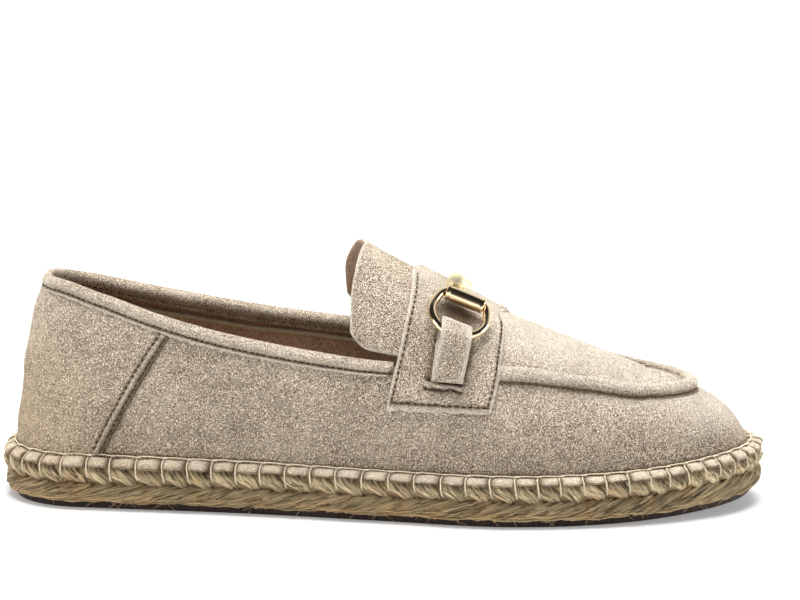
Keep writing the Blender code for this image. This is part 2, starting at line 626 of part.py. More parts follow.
def make_keeper(shoe, frame, side, name):
    """Suede tab: up the strap, folded through the ring, and down again over its wire."""
    share = np.linspace(0, 1, 7)
    climb = KEEPER_SLIT[side] * (1 - share) + (RING_CLIMB[side] - KEEPER_FOLD) * share
    fold_x = frame.at(KEEPER_SIDE, KEEPER_HEAD, -RING_WIRE - KEEPER_THICK)[0]
    turn = turn_at(fold_x - KEEPER_DRIFT * (1 - share), climb, side)
    on_strap = GAP + STRAP_THICK + 3 * GAP + KEEPER_THICK / 2
    back = on_last(turn, climb, on_strap)
    square = on_last(turn, climb, on_strap + MM) - back
    square /= np.linalg.norm(square, axis=1, keepdims=True)
    over_wire = RING_WIRE + GAP + KEEPER_THICK / 2
    foot = back[0] + square[0] * (KEEPER_THICK + GAP)
    head_forward = np.dot(back[-1] - frame.centre, frame.forward)
    head = frame.at(head_forward, KEEPER_HEAD, over_wire)
    knee_up = -RING_RADIUS - KEEPER_KNEE
    share_down = (knee_up - KEEPER_HEAD) / np.dot(foot - head, frame.up)
    knee_forward = head_forward + np.dot(foot - head, frame.forward) * share_down
    knee = frame.at(knee_forward, knee_up, over_wire)
    t = np.linspace(0, 1, 6)[:, None]
    below = knee + (knee - head) * 0.4
    drop = knee * (1 - t) ** 2 + below * 2 * t * (1 - t) + foot * t ** 2
    front = np.concatenate([[head, (head + knee) / 2], drop])
    bend = np.linspace(0, np.pi, 7)[1:-1, None]
    middle, across = (back[-1] + head) / 2, (head - back[-1]) / 2
    upward = frame.up * np.linalg.norm(across) / 2
    fold = middle - across * np.cos(bend) + upward * np.sin(bend)
    path = np.concatenate([back, fold, front])
    ahead = np.gradient(path, axis=0)
    ahead /= np.linalg.norm(ahead, axis=1, keepdims=True)
    on_back = frame.forward - square * (square @ frame.forward)[:, None]
    rising = ahead[:len(back)]
    on_back -= (1 - share)[:, None] * rising * (on_back * rising).sum(1)[:, None]
    turning = np.linspace(0, 1, len(fold))[:, None]
    falling = np.linspace(0, 1, len(front))[:, None]
    wide = np.concatenate([on_back, on_back[-1] * (1 - turning) + frame.forward * turning,
                           frame.forward * (1 - falling) + on_back[0] * falling])
    wide *= KEEPER_WIDE / 2 / np.linalg.norm(wide, axis=1, keepdims=True)
    thick = np.cross(wide, ahead)
    thick *= KEEPER_THICK / 2 / np.linalg.norm(thick, axis=1, keepdims=True)
    corners = np.stack([path - wide - thick, path + wide - thick,
                        path + wide + thick, path - wide + thick], 1)
    return swept(name, corners, "suede_light", shoe)


def link_centre():
    """Middle of the link, on the strap's crest."""
    return on_last(turn_of(LINK_ALONG, OUTER), 1.0, GAP + STRAP_THICK + ARM_CLEAR + LINK_RADIUS)


def make_arm(shoe, frame, side, name):
    """Arm of the mouthpiece, curved over the strap: thick at the barrel, thin at the link."""
    barrel, link = frame.at(0.0, BARREL_UP), link_centre()

    def over_strap(share, radius):
        climb = RING_CLIMB[side] * (1 - share) + share
        aside = (1 - share) ** ARM_SWEEP[side]
        x = (barrel[0] - ARM_BACK[side]) * aside + link[0] * (1 - aside)
        clear = GAP + STRAP_THICK + ARM_CLEAR + ARM_LIFT[side] * (1 - share) + radius
        lean = on_last(turn_at(x, climb, side), climb, clear)[..., 0] - x
        return on_last(turn_at(x - lean, climb, side), climb, clear)

    share = np.linspace(0, 1, 241)
    thick_line, thin_line = over_strap(share, ARM_THICK), over_strap(share, ARM_THIN)
    from_barrel = thick_line - barrel
    from_barrel -= (from_barrel @ frame.forward)[:, None] * frame.forward
    past_barrel = np.linalg.norm(from_barrel, axis=1) > BARREL_RADIUS + 1.5 * GAP + ARM_THICK
    before_link = np.linalg.norm(thin_line - link, axis=1) > LINK_RADIUS + 1.5 * GAP
    knob = share[past_barrel & (share > 0.2)][0]
    end = share[before_link][-1]
    run = np.linalg.norm(np.diff(thick_line, axis=0), axis=1).sum()
    nose = np.linspace(0.3, np.pi / 2, 4)
    rounded = knob - ARM_THICK * np.cos(nose) / run
    share = np.concatenate([rounded, np.linspace(knob, end, 9)[1:]])
    taper = np.clip((share - knob) * run / KNOB_LONG, 0, 1)
    radii = ARM_THIN + (ARM_THICK - ARM_THIN) * (1 - taper ** 1.5) ** 1.5
    path = over_strap(share, radii)
    radii[:4] *= np.sin(nose)
    return swept(name, tube_sections(path, radii, 10), "gold", shoe)


def make_link(shoe):
    """Ball that joins the two arms over the crest."""
    angle = np.linspace(0, np.pi, 7)[1:-1]
    stations = -np.cos(angle) * LINK_RADIUS
    path = link_centre() + np.stack([stations, 0 * stations, 0 * stations], 1)
    return swept("bit_link", tube_sections(path, np.sin(angle) * LINK_RADIUS, 12), "gold", shoe)


# ------------------------------------------------------------------------- the shoe
def make_shoe():
    clear_scene()
    plan = sole_outline(np.linspace(0, 1, 721))
    middle = (plan.min(axis=0) + plan.max(axis=0)) / 2
    shoe = bpy.data.objects.new("shoe", None)
    shoe.location = (-middle[0], -middle[1], 0)
    bpy.context.scene.collection.objects.link(shoe)

    make_outsole(shoe)
    make_rope_sole(shoe)
    make_insole(shoe)
    make_upper(shoe)
    make_heel_counter(shoe)
    make_collar_binding(shoe)
    make_apron_ridge(shoe)
    make_tongue(shoe)
    make_strap(shoe)
    make_link(shoe)
    for side, word in ((OUTER, "outer"), (INNER, "inner")):
        frame = BitFrame(side)
        make_ring(shoe, frame, f"bit_ring_{word}")
        make_barrel(shoe, frame, f"bit_barrel_{word}")
        make_keeper(shoe, frame, side, f"keeper_{word}")
        make_arm(shoe, frame, side, f"bit_arm_{word}")


make_shoe()
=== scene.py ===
# %% [markdown]
# # A horsebit loafer on a rope sole
# The real object is one right shoe: a suede upper sewn round a braided jute sole,
# with a thin rubber sheet under it and a pale gold bit over the instep.
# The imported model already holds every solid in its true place. It stays untouched.
# This lesson lays a finer skin over each solid, and hides the plain one under it.
# Nearly every soft piece lies on one surface, the last, so that comes first.

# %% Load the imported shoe
import bmesh
import bpy
import numpy as np
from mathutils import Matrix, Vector


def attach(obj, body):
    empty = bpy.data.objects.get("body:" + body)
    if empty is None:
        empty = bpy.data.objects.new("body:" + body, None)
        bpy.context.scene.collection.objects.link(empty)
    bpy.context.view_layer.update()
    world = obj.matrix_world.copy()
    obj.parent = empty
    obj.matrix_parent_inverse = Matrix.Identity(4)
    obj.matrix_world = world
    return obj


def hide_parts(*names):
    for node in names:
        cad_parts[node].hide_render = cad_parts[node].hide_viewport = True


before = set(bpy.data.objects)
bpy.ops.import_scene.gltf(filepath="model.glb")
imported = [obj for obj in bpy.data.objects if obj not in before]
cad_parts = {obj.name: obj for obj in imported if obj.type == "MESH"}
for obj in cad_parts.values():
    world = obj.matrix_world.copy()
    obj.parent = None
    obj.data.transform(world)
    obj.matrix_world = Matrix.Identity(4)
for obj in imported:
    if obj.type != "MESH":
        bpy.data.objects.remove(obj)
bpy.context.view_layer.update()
MM = 0.001
OUTER, INNER = -1, 1
print("solids in the packed shoe:", len(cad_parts))

# %% [markdown]
# ## The plan of the sole
# A shoemaker starts from the sole's outline. It could be drawn as a spline by hand, but
# a short table of half widths is easier to check and to change: each row says how wide
# the sole is on either side of its centre line, at one share of its length.
# A superellipse closes the heel, and a longer one the toe.
# A place on the outline has a turn: 0 heel, 0.25 outer side, 0.5 toe, 0.75 inner side.

# %% Sizes of the sole
SOLE_LENGTH = 260 * MM
HEEL_ROUND, HEEL_POWER = 30 * MM, 2.2  # length and squareness of the outline's ends
TOE_ROUND, TOE_POWER = 92 * MM, 2.25
TOE_SPRING = 4 * MM
SPRING_FROM = 190 * MM  # the sole is flat on the floor up to here
SOLE_PLAN = np.array([  # along, outer half width, inner half width, centre line's drift inward
    (0.00, 30.0, 30.0, 0.0),
    (0.13, 32.0, 32.0, 0.0),
    (0.32, 34.5, 31.5, 0.0),
    (0.50, 40.0, 33.0, 0.3),
    (0.68, 46.0, 42.0, 1.5),
    (0.82, 46.0, 45.5, 4.5),
    (1.00, 43.0, 44.0, 7.0)])
PLAN_OUTER, PLAN_INNER, PLAN_DRIFT = 1, 2, 3


# %% Small helpers
def from_table(table, column, at):
    """A column of a table read at any place: a cubic through its rows that never overshoots."""
    x, y = table[:, 0], table[:, column]
    step = np.diff(x)
    rise = np.diff(y) / step
    slope = np.zeros_like(y)
    slope[0], slope[-1] = rise[0], rise[-1]
    before, after = 2 * step[1:] + step[:-1], step[1:] + 2 * step[:-1]
    steady = rise[:-1] * rise[1:] > 0
    slope[1:-1][steady] = ((before + after)[steady]
                           / (before[steady] / rise[:-1][steady] + after[steady] / rise[1:][steady]))
    at = np.clip(at, x[0], x[-1])
    i = np.clip(np.searchsorted(x, at) - 1, 0, len(x) - 2)
    t = (at - x[i]) / step[i]
    return (y[i] * (1 + 2 * t) * (1 - t) ** 2 + step[i] * slope[i] * t * (1 - t) ** 2
            + y[i + 1] * t * t * (3 - 2 * t) + step[i] * slope[i + 1] * t * t * (t - 1))


def unit(vectors):
    """Each vector brought to length 1."""
    return vectors / np.linalg.norm(vectors, axis=-1, keepdims=True)


def by_side(table, on_outer, at):
    """Column 1 of a table on the outer side, and column 2 on the inner."""
    return np.where(on_outer, from_table(table, 1, at), from_table(table, 2, at))


def run_along(line):
    """Distance run along a line of points, at each of them."""
    return np.append(0, np.cumsum(np.linalg.norm(np.diff(line, axis=0), axis=1)))


def bell(away, width, power=2):
    """1 on a line, fading to either side: exp(-(away / width)^power)."""
    return np.exp(-(away / width) ** power)


def held(value):
    """A value held between 0 and 1."""
    return np.clip(value, 0, 1)


# %% The outline as a function of the turn
def along_of(turn):
    """Share of the length at a turn: the ends are approached as on a circle."""
    return (1 - np.cos(2 * np.pi * turn)) / 2


def turn_of(along, side):
    """The turn at a share of the length, on the outer or the inner side."""
    half = np.arccos(1 - 2 * np.asarray(along)) / (2 * np.pi)
    return np.where(np.asarray(side) == OUTER, half, 1 - half)


def sole_outline(turn):
    """Plan of the sole: half widths from the table, closed by a superellipse at each end."""
    along = along_of(turn)
    x = along * SOLE_LENGTH
    heel = held(1 - x / HEEL_ROUND)
    toe = held(1 - (SOLE_LENGTH - x) / TOE_ROUND)
    closing = (1 - heel ** HEEL_POWER) ** (1 / HEEL_POWER) * (1 - toe ** TOE_POWER) ** (1 / TOE_POWER)
    half = np.where(turn % 1 <= 0.5, -from_table(SOLE_PLAN, PLAN_OUTER, along),
                    from_table(SOLE_PLAN, PLAN_INNER, along))
    y = from_table(SOLE_PLAN, PLAN_DRIFT, along) + half * closing
    return np.stack([x, y * MM], -1)


def inset_outline(turn, inset, step=0.0007):
    """The outline moved inward, square to its own direction."""
    ahead = unit(sole_outline(turn + step) - sole_outline(turn - step))
    inward = np.stack([-ahead[..., 1], ahead[..., 0]], -1)
    return sole_outline(turn) + inward * np.asarray(inset)[..., None]


def lift(x):
    """Height that the toe spring adds: a parabola from the ball forward."""
    return TOE_SPRING * held((x - SPRING_FROM) / (SOLE_LENGTH - SPRING_FROM)) ** 2


plan = sole_outline(np.linspace(0, 1, 721))
MIDDLE = np.append((plan.min(axis=0) + plan.max(axis=0)) / 2, 0)
print("outline, mm:", np.round((plan.max(axis=0) - plan.min(axis=0)) / MM, 1))


# %% Distance run round the outline
FINE_TURNS = np.linspace(0, 1, 2881)
FINE_RUN = run_along(sole_outline(FINE_TURNS))
LENGTH_ROUND = FINE_RUN[-1]


def run_of(turn):
    """Length of the outline from the middle of the heel, growing along the outer side."""
    return np.interp(turn % 1, FINE_TURNS, FINE_RUN)


def turn_at_run(run):
    """The turn that lies at a length round the outline."""
    return np.interp(run % LENGTH_ROUND, FINE_RUN, FINE_TURNS)


print("length round the sole, mm:", round(LENGTH_ROUND / MM, 1))

# %% [markdown]
# ## The last
# The last is the foot-shaped form that the upper is pulled over. It could be sculpted,
# but every panel, seam and stitch has to lie on it, so it is kept as a formula.
# From each place on the outline a rib climbs to a ridge along the instep.
# A place on it has a turn, and a climb from 0 at the sole to 1 on the ridge.

# %% Sizes of the last
WALL = 1.8 * MM  # suede and lining together
FLANGE = 5 * MM  # from the sole's outline in to the upper's foot
FEATHER_HEIGHT = 17 * MM
SPINE_HEEL, SPINE_TOE = 34 * MM, 220 * MM  # ends of the ridge
THROAT = 0.60  # share of the length where the vamp closes
INSTEP = np.array([  # distance from the heel, height of the last's ridge there
    (34.0, 97.0),
    (70.0, 97.0),
    (105.0, 94.0),
    (127.0, 86.3),
    (146.0, 76.3),
    (164.0, 67.1),
    (183.0, 59.1),
    (201.0, 52.2),
    (220.0, 45.8)])
LAST_RIBS = np.array([  # along, squareness at the side, squareness at the top
    (0.00, 1.72, 2.00),
    (0.20, 2.05, 2.00),
    (0.38, 2.35, 2.00),
    (0.50, 2.50, 2.00),
    (0.60, 2.55, 2.00),
    (0.70, 2.60, 2.05),
    (0.80, 2.60, 2.10),
    (0.90, 2.30, 2.00),
    (1.00, 1.30, 1.40)])
RIB_SIDE, RIB_TOP = 1, 2
SHOULDER = np.array([  # along, outer height, inner height: the topline, then the apron's seam
    (0.00, 75.0, 75.0),
    (0.04, 74.5, 72.7),
    (0.12, 70.7, 68.7),
    (0.20, 65.1, 65.2),
    (0.30, 59.2, 61.1),
    (0.40, 55.1, 57.7),
    (0.50, 52.2, 54.9),
    (0.60, 50.8, 52.9),
    (0.70, 49.2, 50.2),
    (0.80, 45.4, 46.0),
    (0.90, 40.9, 41.3),
    (1.00, 39.6, 39.6)])


# %% The last as a function of turn and climb
def last_point(turn, climb):
    """A rib from the feather line to the ridge: a quarter of a superellipse.

    Its height is a share of the ridge's height at the same distance from the heel.
    """
    turn, climb = np.broadcast_arrays(turn, climb)
    foot = inset_outline(turn, FLANGE)
    along = along_of(turn)
    spine_x = SPINE_HEEL + (SPINE_TOE - SPINE_HEEL) * along
    spine_y = from_table(SOLE_PLAN, PLAN_DRIFT, spine_x / SOLE_LENGTH) * MM
    angle = held(climb) * np.pi / 2
    inward = 1 - np.cos(angle) ** (2 / from_table(LAST_RIBS, RIB_SIDE, along))
    upward = np.sin(angle) ** (2 / from_table(LAST_RIBS, RIB_TOP, along))
    x = foot[..., 0] + (spine_x - foot[..., 0]) * inward
    y = foot[..., 1] + (spine_y - foot[..., 1]) * inward
    low = FEATHER_HEIGHT + lift(foot[..., 0])
    ridge = from_table(INSTEP, 1, x / MM) * MM
    return np.stack([x, y, low + (ridge - low) * upward], -1)


def way_up(turns, climbs, step=0.01):
    """The direction up the last at places on it, and its metres to a whole climb."""
    rise = last_point(turns, climbs) - last_point(turns, climbs - step)
    return unit(rise), np.linalg.norm(rise, axis=-1) / step


def on_last(turn, climb, out=0.0, step=0.0008):
    """A place on the last, moved out along the surface's own normal."""
    turn, climb = np.broadcast_arrays(np.asarray(turn, float), np.asarray(climb, float))
    around = last_point(turn + step, climb) - last_point(turn - step, climb)
    high, low = np.minimum(climb + step, 1), np.maximum(climb - step, 0)
    up = last_point(turn, high) - last_point(turn, low)
    return last_point(turn, climb) + unit(np.cross(around, up)) * np.asarray(out)[..., None]


# %% Finding places on the last
def turn_at(x, climb, side):
    """The turn of the place that lies at a distance x from the heel, on a line of equal climb."""
    x, climb, side = np.broadcast_arrays(x, climb, side)
    along = (x - FLANGE) / (SOLE_LENGTH - 2 * FLANGE)
    for _ in range(8):
        along = along + (x - last_point(turn_of(along, side), climb)[..., 0]) / (SOLE_LENGTH * 0.9)
    return turn_of(along, side)


def climb_at_height(turn, height):
    """The climb where a rib reaches a height above the floor, closed in on by halving."""
    turn, height = np.broadcast_arrays(turn, height)
    low, high = np.zeros(turn.shape), np.ones(turn.shape)
    for _ in range(20):
        middle = (low + high) / 2
        under = last_point(turn, middle)[..., 2] < height
        low, high = np.where(under, middle, low), np.where(under, high, middle)
    return (low + high) / 2


def shoulder_climb(turn, below=0.0):
    """The climb of the topline and apron seam, or of a line that runs below it."""
    along = along_of(turn)
    height = by_side(SHOULDER, turn % 1 <= 0.5, along)
    return climb_at_height(turn, height * MM - below)


print("crest over the instep, mm:", np.round(last_point(turn_of(0.5, OUTER), 1.0) / MM, 1))

# %% [markdown]
# ## Soft folds
# Suede never lies quite smooth: the heel sinks a little above the sole and the quarter
# bellies out. Noise would look like crumpled paper, so each fold is placed one by one.
# A row gives the two ends of a fold as distance round the outline and height, in
# millimetres, then its half width and how far it rises. A negative rise is a trough.
# Distances on the inner side are negative.

# %% The folds, one by one
FOLDS = np.array([  # run, height, run, height, half width, rise
    (24, 53, -24, 53, 15., -1.50),
    (24, 29, -24, 29, 12., -1.30),
    (40, 62, 14, 47, 5.5, 1.00),
    (46, 52, 20, 39, 6.5, -1.10),
    (10, 40, -8, 36, 9.0, -0.60),
    (20, 30, 52, 33, 6.0, -0.45),
    (8, 27, -14, 27, 5.0, 0.45),
    (70, 30, 120, 27, 9.0, -0.35),
    (95, 45, 150, 40, 12., 0.45),
    (-30, 58, -16, 44, 7.0, -0.60),
    (-60, 35, -110, 30, 9.0, -0.40),
    (200, 28, 232, 33, 8.0, -0.35),
    (236, 37, 262, 30, 6.0, 0.30),
    (-205, 28, -235, 33, 8.0, -0.35),
    (268, 31.5, 320, 31.5, 6.0, 1.20),
    (-268, 31.5, -320, 31.5, 6.0, 1.20)])


def relief(turn, climb):
    """How far the folds push the surface out: a bell across each fold, fading past its ends."""
    turn, climb = np.broadcast_arrays(np.asarray(turn, float), np.asarray(climb, float))
    run = run_of(turn)
    run = np.where(run > LENGTH_ROUND / 2, run - LENGTH_ROUND, run) / MM
    height = last_point(turn, climb)[..., 2] / MM
    total = np.zeros(turn.shape)
    for run_a, height_a, run_b, height_b, width, rise in FOLDS:
        ahead, upward = run_b - run_a, height_b - height_a
        share = ((run - run_a) * ahead + (height - height_a) * upward) / (ahead ** 2 + upward ** 2)
        share = held(share)
        away = np.hypot(run - run_a - share * ahead, height - height_a - share * upward)
        total += rise * bell(away, width)
    return total * MM


def skin(turn, climb, out=0.0):
    """A place on the folded surface, moved out square to the last."""
    return on_last(turn, climb, out + relief(turn, climb))


print("deepest fold, mm:", round(-FOLDS[:, 5].min(), 2))

# %% [markdown]
# ## From arrays to meshes
# Blender can model with its own tools, but a formula on a grid gives exact, repeatable
# shapes. These helpers turn whole arrays into meshes: one for a grid, which may close on
# itself, and one for many small tubes joined in a single mesh.
# Each vertex may carry named numbers, such as how much shade it lies in.


# %% Faces of a grid
def grid_faces(rows, columns, closed_rows=False, closed_columns=False):
    """Four-sided faces of a grid whose points are stored row by row."""
    r = np.arange(rows if closed_rows else rows - 1)
    c = np.arange(columns if closed_columns else columns - 1)
    r, c = (a.ravel() for a in np.meshgrid(r, c, indexing="ij"))
    next_r, next_c = (r + 1) % rows, (c + 1) % columns
    return np.stack([r * columns + c, r * columns + next_c, next_r * columns + next_c,
                     next_r * columns + c], -1)


def carried_faces(sections, sides):
    """Faces of a closed profile carried along a path, with one cap at either end."""
    walls = grid_faces(sections, sides, closed_columns=True)[:, ::-1].tolist()
    near = list(range(sides))
    return walls + [near, [(sections - 1) * sides + side for side in reversed(near)]]


# %% Painted highlight on top
TOP_HIGHLIGHT = 0.33  # how pale the painted highlight makes the nap where it faces straight up
TOP_HIGHLIGHT_FROM, TOP_HIGHLIGHT_TO = 0.55, 0.95  # upward part of the direction where that starts, and ends


def painted_top_highlight(mesh):
    """Painted highlight where a surface faces up: none at the side, some on the crest."""
    normals = np.empty(3 * len(mesh.vertices), np.float32)
    mesh.vertex_normals.foreach_get("vector", normals)
    return TOP_HIGHLIGHT * held((normals[2::3] - TOP_HIGHLIGHT_FROM) / (TOP_HIGHLIGHT_TO - TOP_HIGHLIGHT_FROM))


# %% One mesh from points and faces
def in_scene(name, data):
    """An object linked to the scene."""
    thing = bpy.data.objects.new(name, data)
    bpy.context.scene.collection.objects.link(thing)
    return thing


def make_piece(name, points, faces, materials, slot, stands_for=(), marks=None, finish_of=None, sharp=180):
    """A piece from an array of points and lists of faces, riding on the shoe's one body.

    marks holds named numbers, spread over the points; finish_of is the material number of
    each face, and sharp the angle in degrees past which an edge stays crisp.
    """
    mesh = bpy.data.meshes.new(name)
    faces = faces.tolist() if isinstance(faces, np.ndarray) else faces
    mesh.from_pydata(points.reshape(-1, 3) - MIDDLE, [], faces)
    marks = {word: np.broadcast_to(values, points.shape[:-1]).ravel()
             for word, values in (marks or {}).items()}
    # suede pieces get a painted highlight where they face up toward the light
    if slot.startswith("suede"):
        marks["painted_highlight"] = np.maximum(marks.get("painted_highlight", 0.0), painted_top_highlight(mesh))
    for word, values in marks.items():
        mesh.attributes.new(word, "FLOAT", "POINT").data.foreach_set("value", values.astype(np.float32))
    for material in materials:
        mesh.materials.append(material)
    if finish_of is not None:
        mesh.polygons.foreach_set("material_index", np.asarray(finish_of, np.int32))
    mesh.shade_smooth()
    if sharp < 180:
        mesh.set_sharp_from_angle(angle=np.radians(sharp))
    mesh.validate()
    piece = in_scene(name, mesh)
    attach(piece, "root")
    if stands_for:
        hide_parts(*stands_for)
    print(f"{name}: {len(mesh.vertices)} points, {len(mesh.polygons)} faces")
    return piece


# %% Many tubes in one mesh
def tube_points(paths, radii, outward, sides):
    """Circles square to many paths at once, each begun on the side that looks outward."""
    ahead = unit(np.gradient(paths, axis=1))
    first = unit(outward - ahead * (outward * ahead).sum(-1, keepdims=True))
    second = np.cross(ahead, first)
    spin = np.arange(sides) * 2 * np.pi / sides
    ring = (np.cos(spin)[:, None] * first[:, :, None] + np.sin(spin)[:, None] * second[:, :, None])
    return paths[:, :, None] + radii[..., None, None] * ring


def tube_faces(count, sections, sides):
    """Faces of that many tubes: four-sided ones along each, and a cap at either end."""
    one = grid_faces(sections, sides, closed_columns=True)
    start = np.arange(count)[:, None, None] * sections * sides
    walls = (one[None] + start).reshape(-1, 4).tolist()
    cap = np.arange(sides)
    near = (cap[::-1][None] + start[:, 0]).tolist()
    far = (cap[None] + (sections - 1) * sides + start[:, 0]).tolist()
    return walls + near + far


# %% [markdown]
# ## Node materials
# A finish here is a small network of nodes, worked out in the shoe's own space, so it
# needs no image and stays put when the shoe moves. A few helpers keep each one short.


# %% Helpers for node networks
def new_finish(name, roughness, specular, **more):
    """A material whose Principled shader has its fixed inputs, and its tree of nodes."""
    material = bpy.data.materials.new(name)
    material.use_nodes = True
    shader = material.node_tree.nodes["Principled BSDF"]
    fixed = {"Roughness": roughness, "Specular IOR Level": specular, **more}
    for socket, value in fixed.items():
        shader.inputs[socket.replace("_", " ")].default_value = value
    return material, material.node_tree


def feed(tree, entry, value):
    """Links or fills one input of a node; a plain colour is made opaque."""
    if isinstance(value, bpy.types.NodeSocket):
        tree.links.new(value, entry)
    else:
        entry.default_value = (*value, 1) if entry.type == "RGBA" and len(value) == 3 else value


def add_node(tree, kind, inputs=(), **settings):
    """A node with its settings, and its inputs by number or name."""
    node = tree.nodes.new(kind)
    for setting, value in settings.items():
        setattr(node, setting, value)
    for socket, value in dict(inputs).items():
        feed(tree, node.inputs[socket], value)
    return node


def grain(tree, size, detail=2.0, stretch=(1, 1, 1), distortion=0.0, where="Object"):
    """Noise whose cells are of a given size in metres, stretched along the axes."""
    place = add_node(tree, "ShaderNodeTexCoord").outputs[where]
    mapped = add_node(tree, "ShaderNodeMapping", {0: place, 3: tuple(1 / s for s in stretch)})
    return add_node(tree, "ShaderNodeTexNoise", {
        "Vector": mapped.outputs[0], "Scale": 1 / size, "Detail": detail, "Roughness": 0.5,
        "Distortion": distortion}).outputs[0]


def between(tree, value, low, high, to_low=0.0, to_high=1.0):
    """A value carried from one range to another, and held inside it."""
    return add_node(tree, "ShaderNodeMapRange", {
        0: value, 1: low, 2: high, 3: to_low, 4: to_high}).outputs[0]


def blend_colours(tree, share, one, other, kind="MIX"):
    """Two colours blended by a share, mixed or multiplied."""
    return add_node(tree, "ShaderNodeMix", {0: share, 6: one, 7: other},
                    data_type="RGBA", blend_type=kind).outputs[2]


def mark(tree, name):
    """A named number carried by the piece's own vertices."""
    return add_node(tree, "ShaderNodeAttribute", attribute_name=name).outputs["Fac"]


def times(tree, one, other):
    """The product of two values."""
    return add_node(tree, "ShaderNodeMath", {0: one, 1: other}, operation="MULTIPLY").outputs[0]


def add_up(tree, one, other):
    """The sum of two values."""
    return add_node(tree, "ShaderNodeMath", {0: one, 1: other}, operation="ADD").outputs[0]


def finished(material, colour, height, strength, depth):
    """The material with its colour, and with fine relief from a height between 0 and 1."""
    tree = material.node_tree
    inputs = tree.nodes["Principled BSDF"].inputs
    bump = add_node(tree, "ShaderNodeBump", {"Height": height, "Strength": strength, "Distance": depth})
    feed(tree, inputs["Normal"], bump.outputs[0])
    feed(tree, inputs["Base Color"], colour)
    return material


# %% [markdown]
# ## Suede
# Suede is the flesh side of the hide, sanded to a short nap. Close up it is a field of
# tiny curled tufts, light on top and dark between, and broader clouds show where the nap
# lies the other way. One noise at the size of a tuft gives both colour and bump, and two
# wide ones give the clouds. Sheen on the shader stands for the fibres at a grazing angle.
# Three marks on the mesh add painted shade in grooves and creases, a yellowed stain, and a
# painted highlight along cut edges and lips and where the skin faces up.

# %% The suede
TUFT = 0.31 * MM


def suede(name, dark, light):
    """Napped leather: colour from dark to light with the tufts, clouded, stained, painted shade and
    highlight.
    """
    material, tree = new_finish(name, 0.95, 0.15, Sheen_Weight=0.25, Sheen_Roughness=0.45,
                                Sheen_Tint=(0.92, 0.82, 0.68, 1))
    curls = grain(tree, TUFT, detail=1.5, distortion=0.6)
    tufts = between(tree, curls, 0.45, 0.55)
    cloud = between(tree, grain(tree, 16 * MM, detail=2.0), 0.35, 0.65, -0.11, 0.11)
    patch = between(tree, grain(tree, 2.6 * MM, detail=1.0), 0.3, 0.7, -0.10, 0.10)
    tone = add_up(tree, add_up(tree, tufts, cloud), patch)
    colour = blend_colours(tree, tone, dark, light)
    # painted highlight: paler nap where light catches cut edges, lips and upward faces
    colour = blend_colours(tree, mark(tree, "painted_highlight"), colour, (0.88, 0.82, 0.72))
    colour = blend_colours(tree, mark(tree, "yellowed"), colour, (1.0, 0.935, 0.75), "MULTIPLY")
    colour = blend_colours(tree, mark(tree, "shaded"), colour, (0.24, 0.160, 0.110), "MULTIPLY")
    return finished(material, colour, tufts, 1.0, 0.6 * MM)


SAND_DARK, SAND_LIGHT = (0.155, 0.104, 0.062), (0.90, 0.77, 0.615)
sand_suede = suede("sand_suede", SAND_DARK, SAND_LIGHT)
print("suede tuft, mm:", TUFT / MM)

# %% [markdown]
# ## Lining
# Inside, the shoe is lined with smooth brown leather. It has a fine pebbled grain, and
# it is a little glossy where the foot rubs it. A small noise makes the pebbles.
# A mark on the mesh darkens it in the shadow under the collar's binding.


# %% The lining
def lining(name, dark, light):
    """Smooth leather: a pebbled grain in the bump, soft clouds in the colour."""
    material, tree = new_finish(name, 0.62, 0.3)
    cloud = between(tree, grain(tree, 9 * MM, detail=3.0), 0.3, 0.7, -0.15, 0.25)
    pebbles = between(tree, grain(tree, 0.6 * MM, detail=2.0), 0.4, 0.6)
    colour = blend_colours(tree, add_up(tree, cloud, times(tree, pebbles, 0.6)), dark, light)
    colour = blend_colours(tree, mark(tree, "shaded"), colour, (0.3, 0.24, 0.2), "MULTIPLY")
    colour = blend_colours(tree, mark(tree, "under_binding"), colour, (0.55, 0.43, 0.34), "MULTIPLY")
    return finished(material, colour, pebbles, 0.5, 0.2 * MM)


brown_lining = lining("brown_lining", (0.29, 0.195, 0.135), (0.58, 0.42, 0.31))
# a paler copy of the lining for the inside of the collar, painted light for that dim place
lit_collar_lining = lining("lit_collar_lining", (0.37, 0.26, 0.18), (0.86, 0.66, 0.49))

# %% [markdown]
# ## Jute, thread, rubber and gold
# Jute is a stiff straw-coloured fibre. Each yarn has its own tone, and fine streaks run
# along it, so its noise is stretched along the yarn in the piece's own UV map.
# The rubber sheet is matte and dark. The bit is a plated casting: a pale gold that is
# almost a mirror, so what it shows is the studio round it.


# %% The jute
def jute(name, dark, light):
    """Straw fibre: streaks along the yarn in colour and bump, and one tone to each yarn."""
    material, tree = new_finish(name, 0.8, 0.3, Sheen_Weight=0.15)
    streak = grain(tree, 0.26 * MM, detail=2.0, stretch=(12, 1, 1), where="UV")
    streaks = between(tree, streak, 0.38, 0.62)
    tone = add_up(tree, times(tree, streaks, 0.62), mark(tree, "yarn_tone"))
    colour = blend_colours(tree, tone, dark, light)
    place = add_node(tree, "ShaderNodeTexCoord").outputs["Object"]
    height = add_node(tree, "ShaderNodeSeparateXYZ", {0: place}).outputs["Z"]
    low = between(tree, height, 4 * MM, 11 * MM, 1.0, 0.0)
    colour = blend_colours(tree, low, colour, (1.0, 0.90, 0.76), "MULTIPLY")
    rust = between(tree, grain(tree, 7 * MM, detail=2.0), 0.52, 0.72, 0.0, 0.7)
    colour = blend_colours(tree, rust, colour, (1.0, 0.80, 0.60), "MULTIPLY")
    colour = blend_colours(tree, mark(tree, "shaded"), colour, (0.30, 0.22, 0.15), "MULTIPLY")
    return finished(material, colour, streaks, 0.8, 0.18 * MM)


straw_jute = jute("straw_jute", (0.15, 0.105, 0.046), (0.98, 0.80, 0.49))


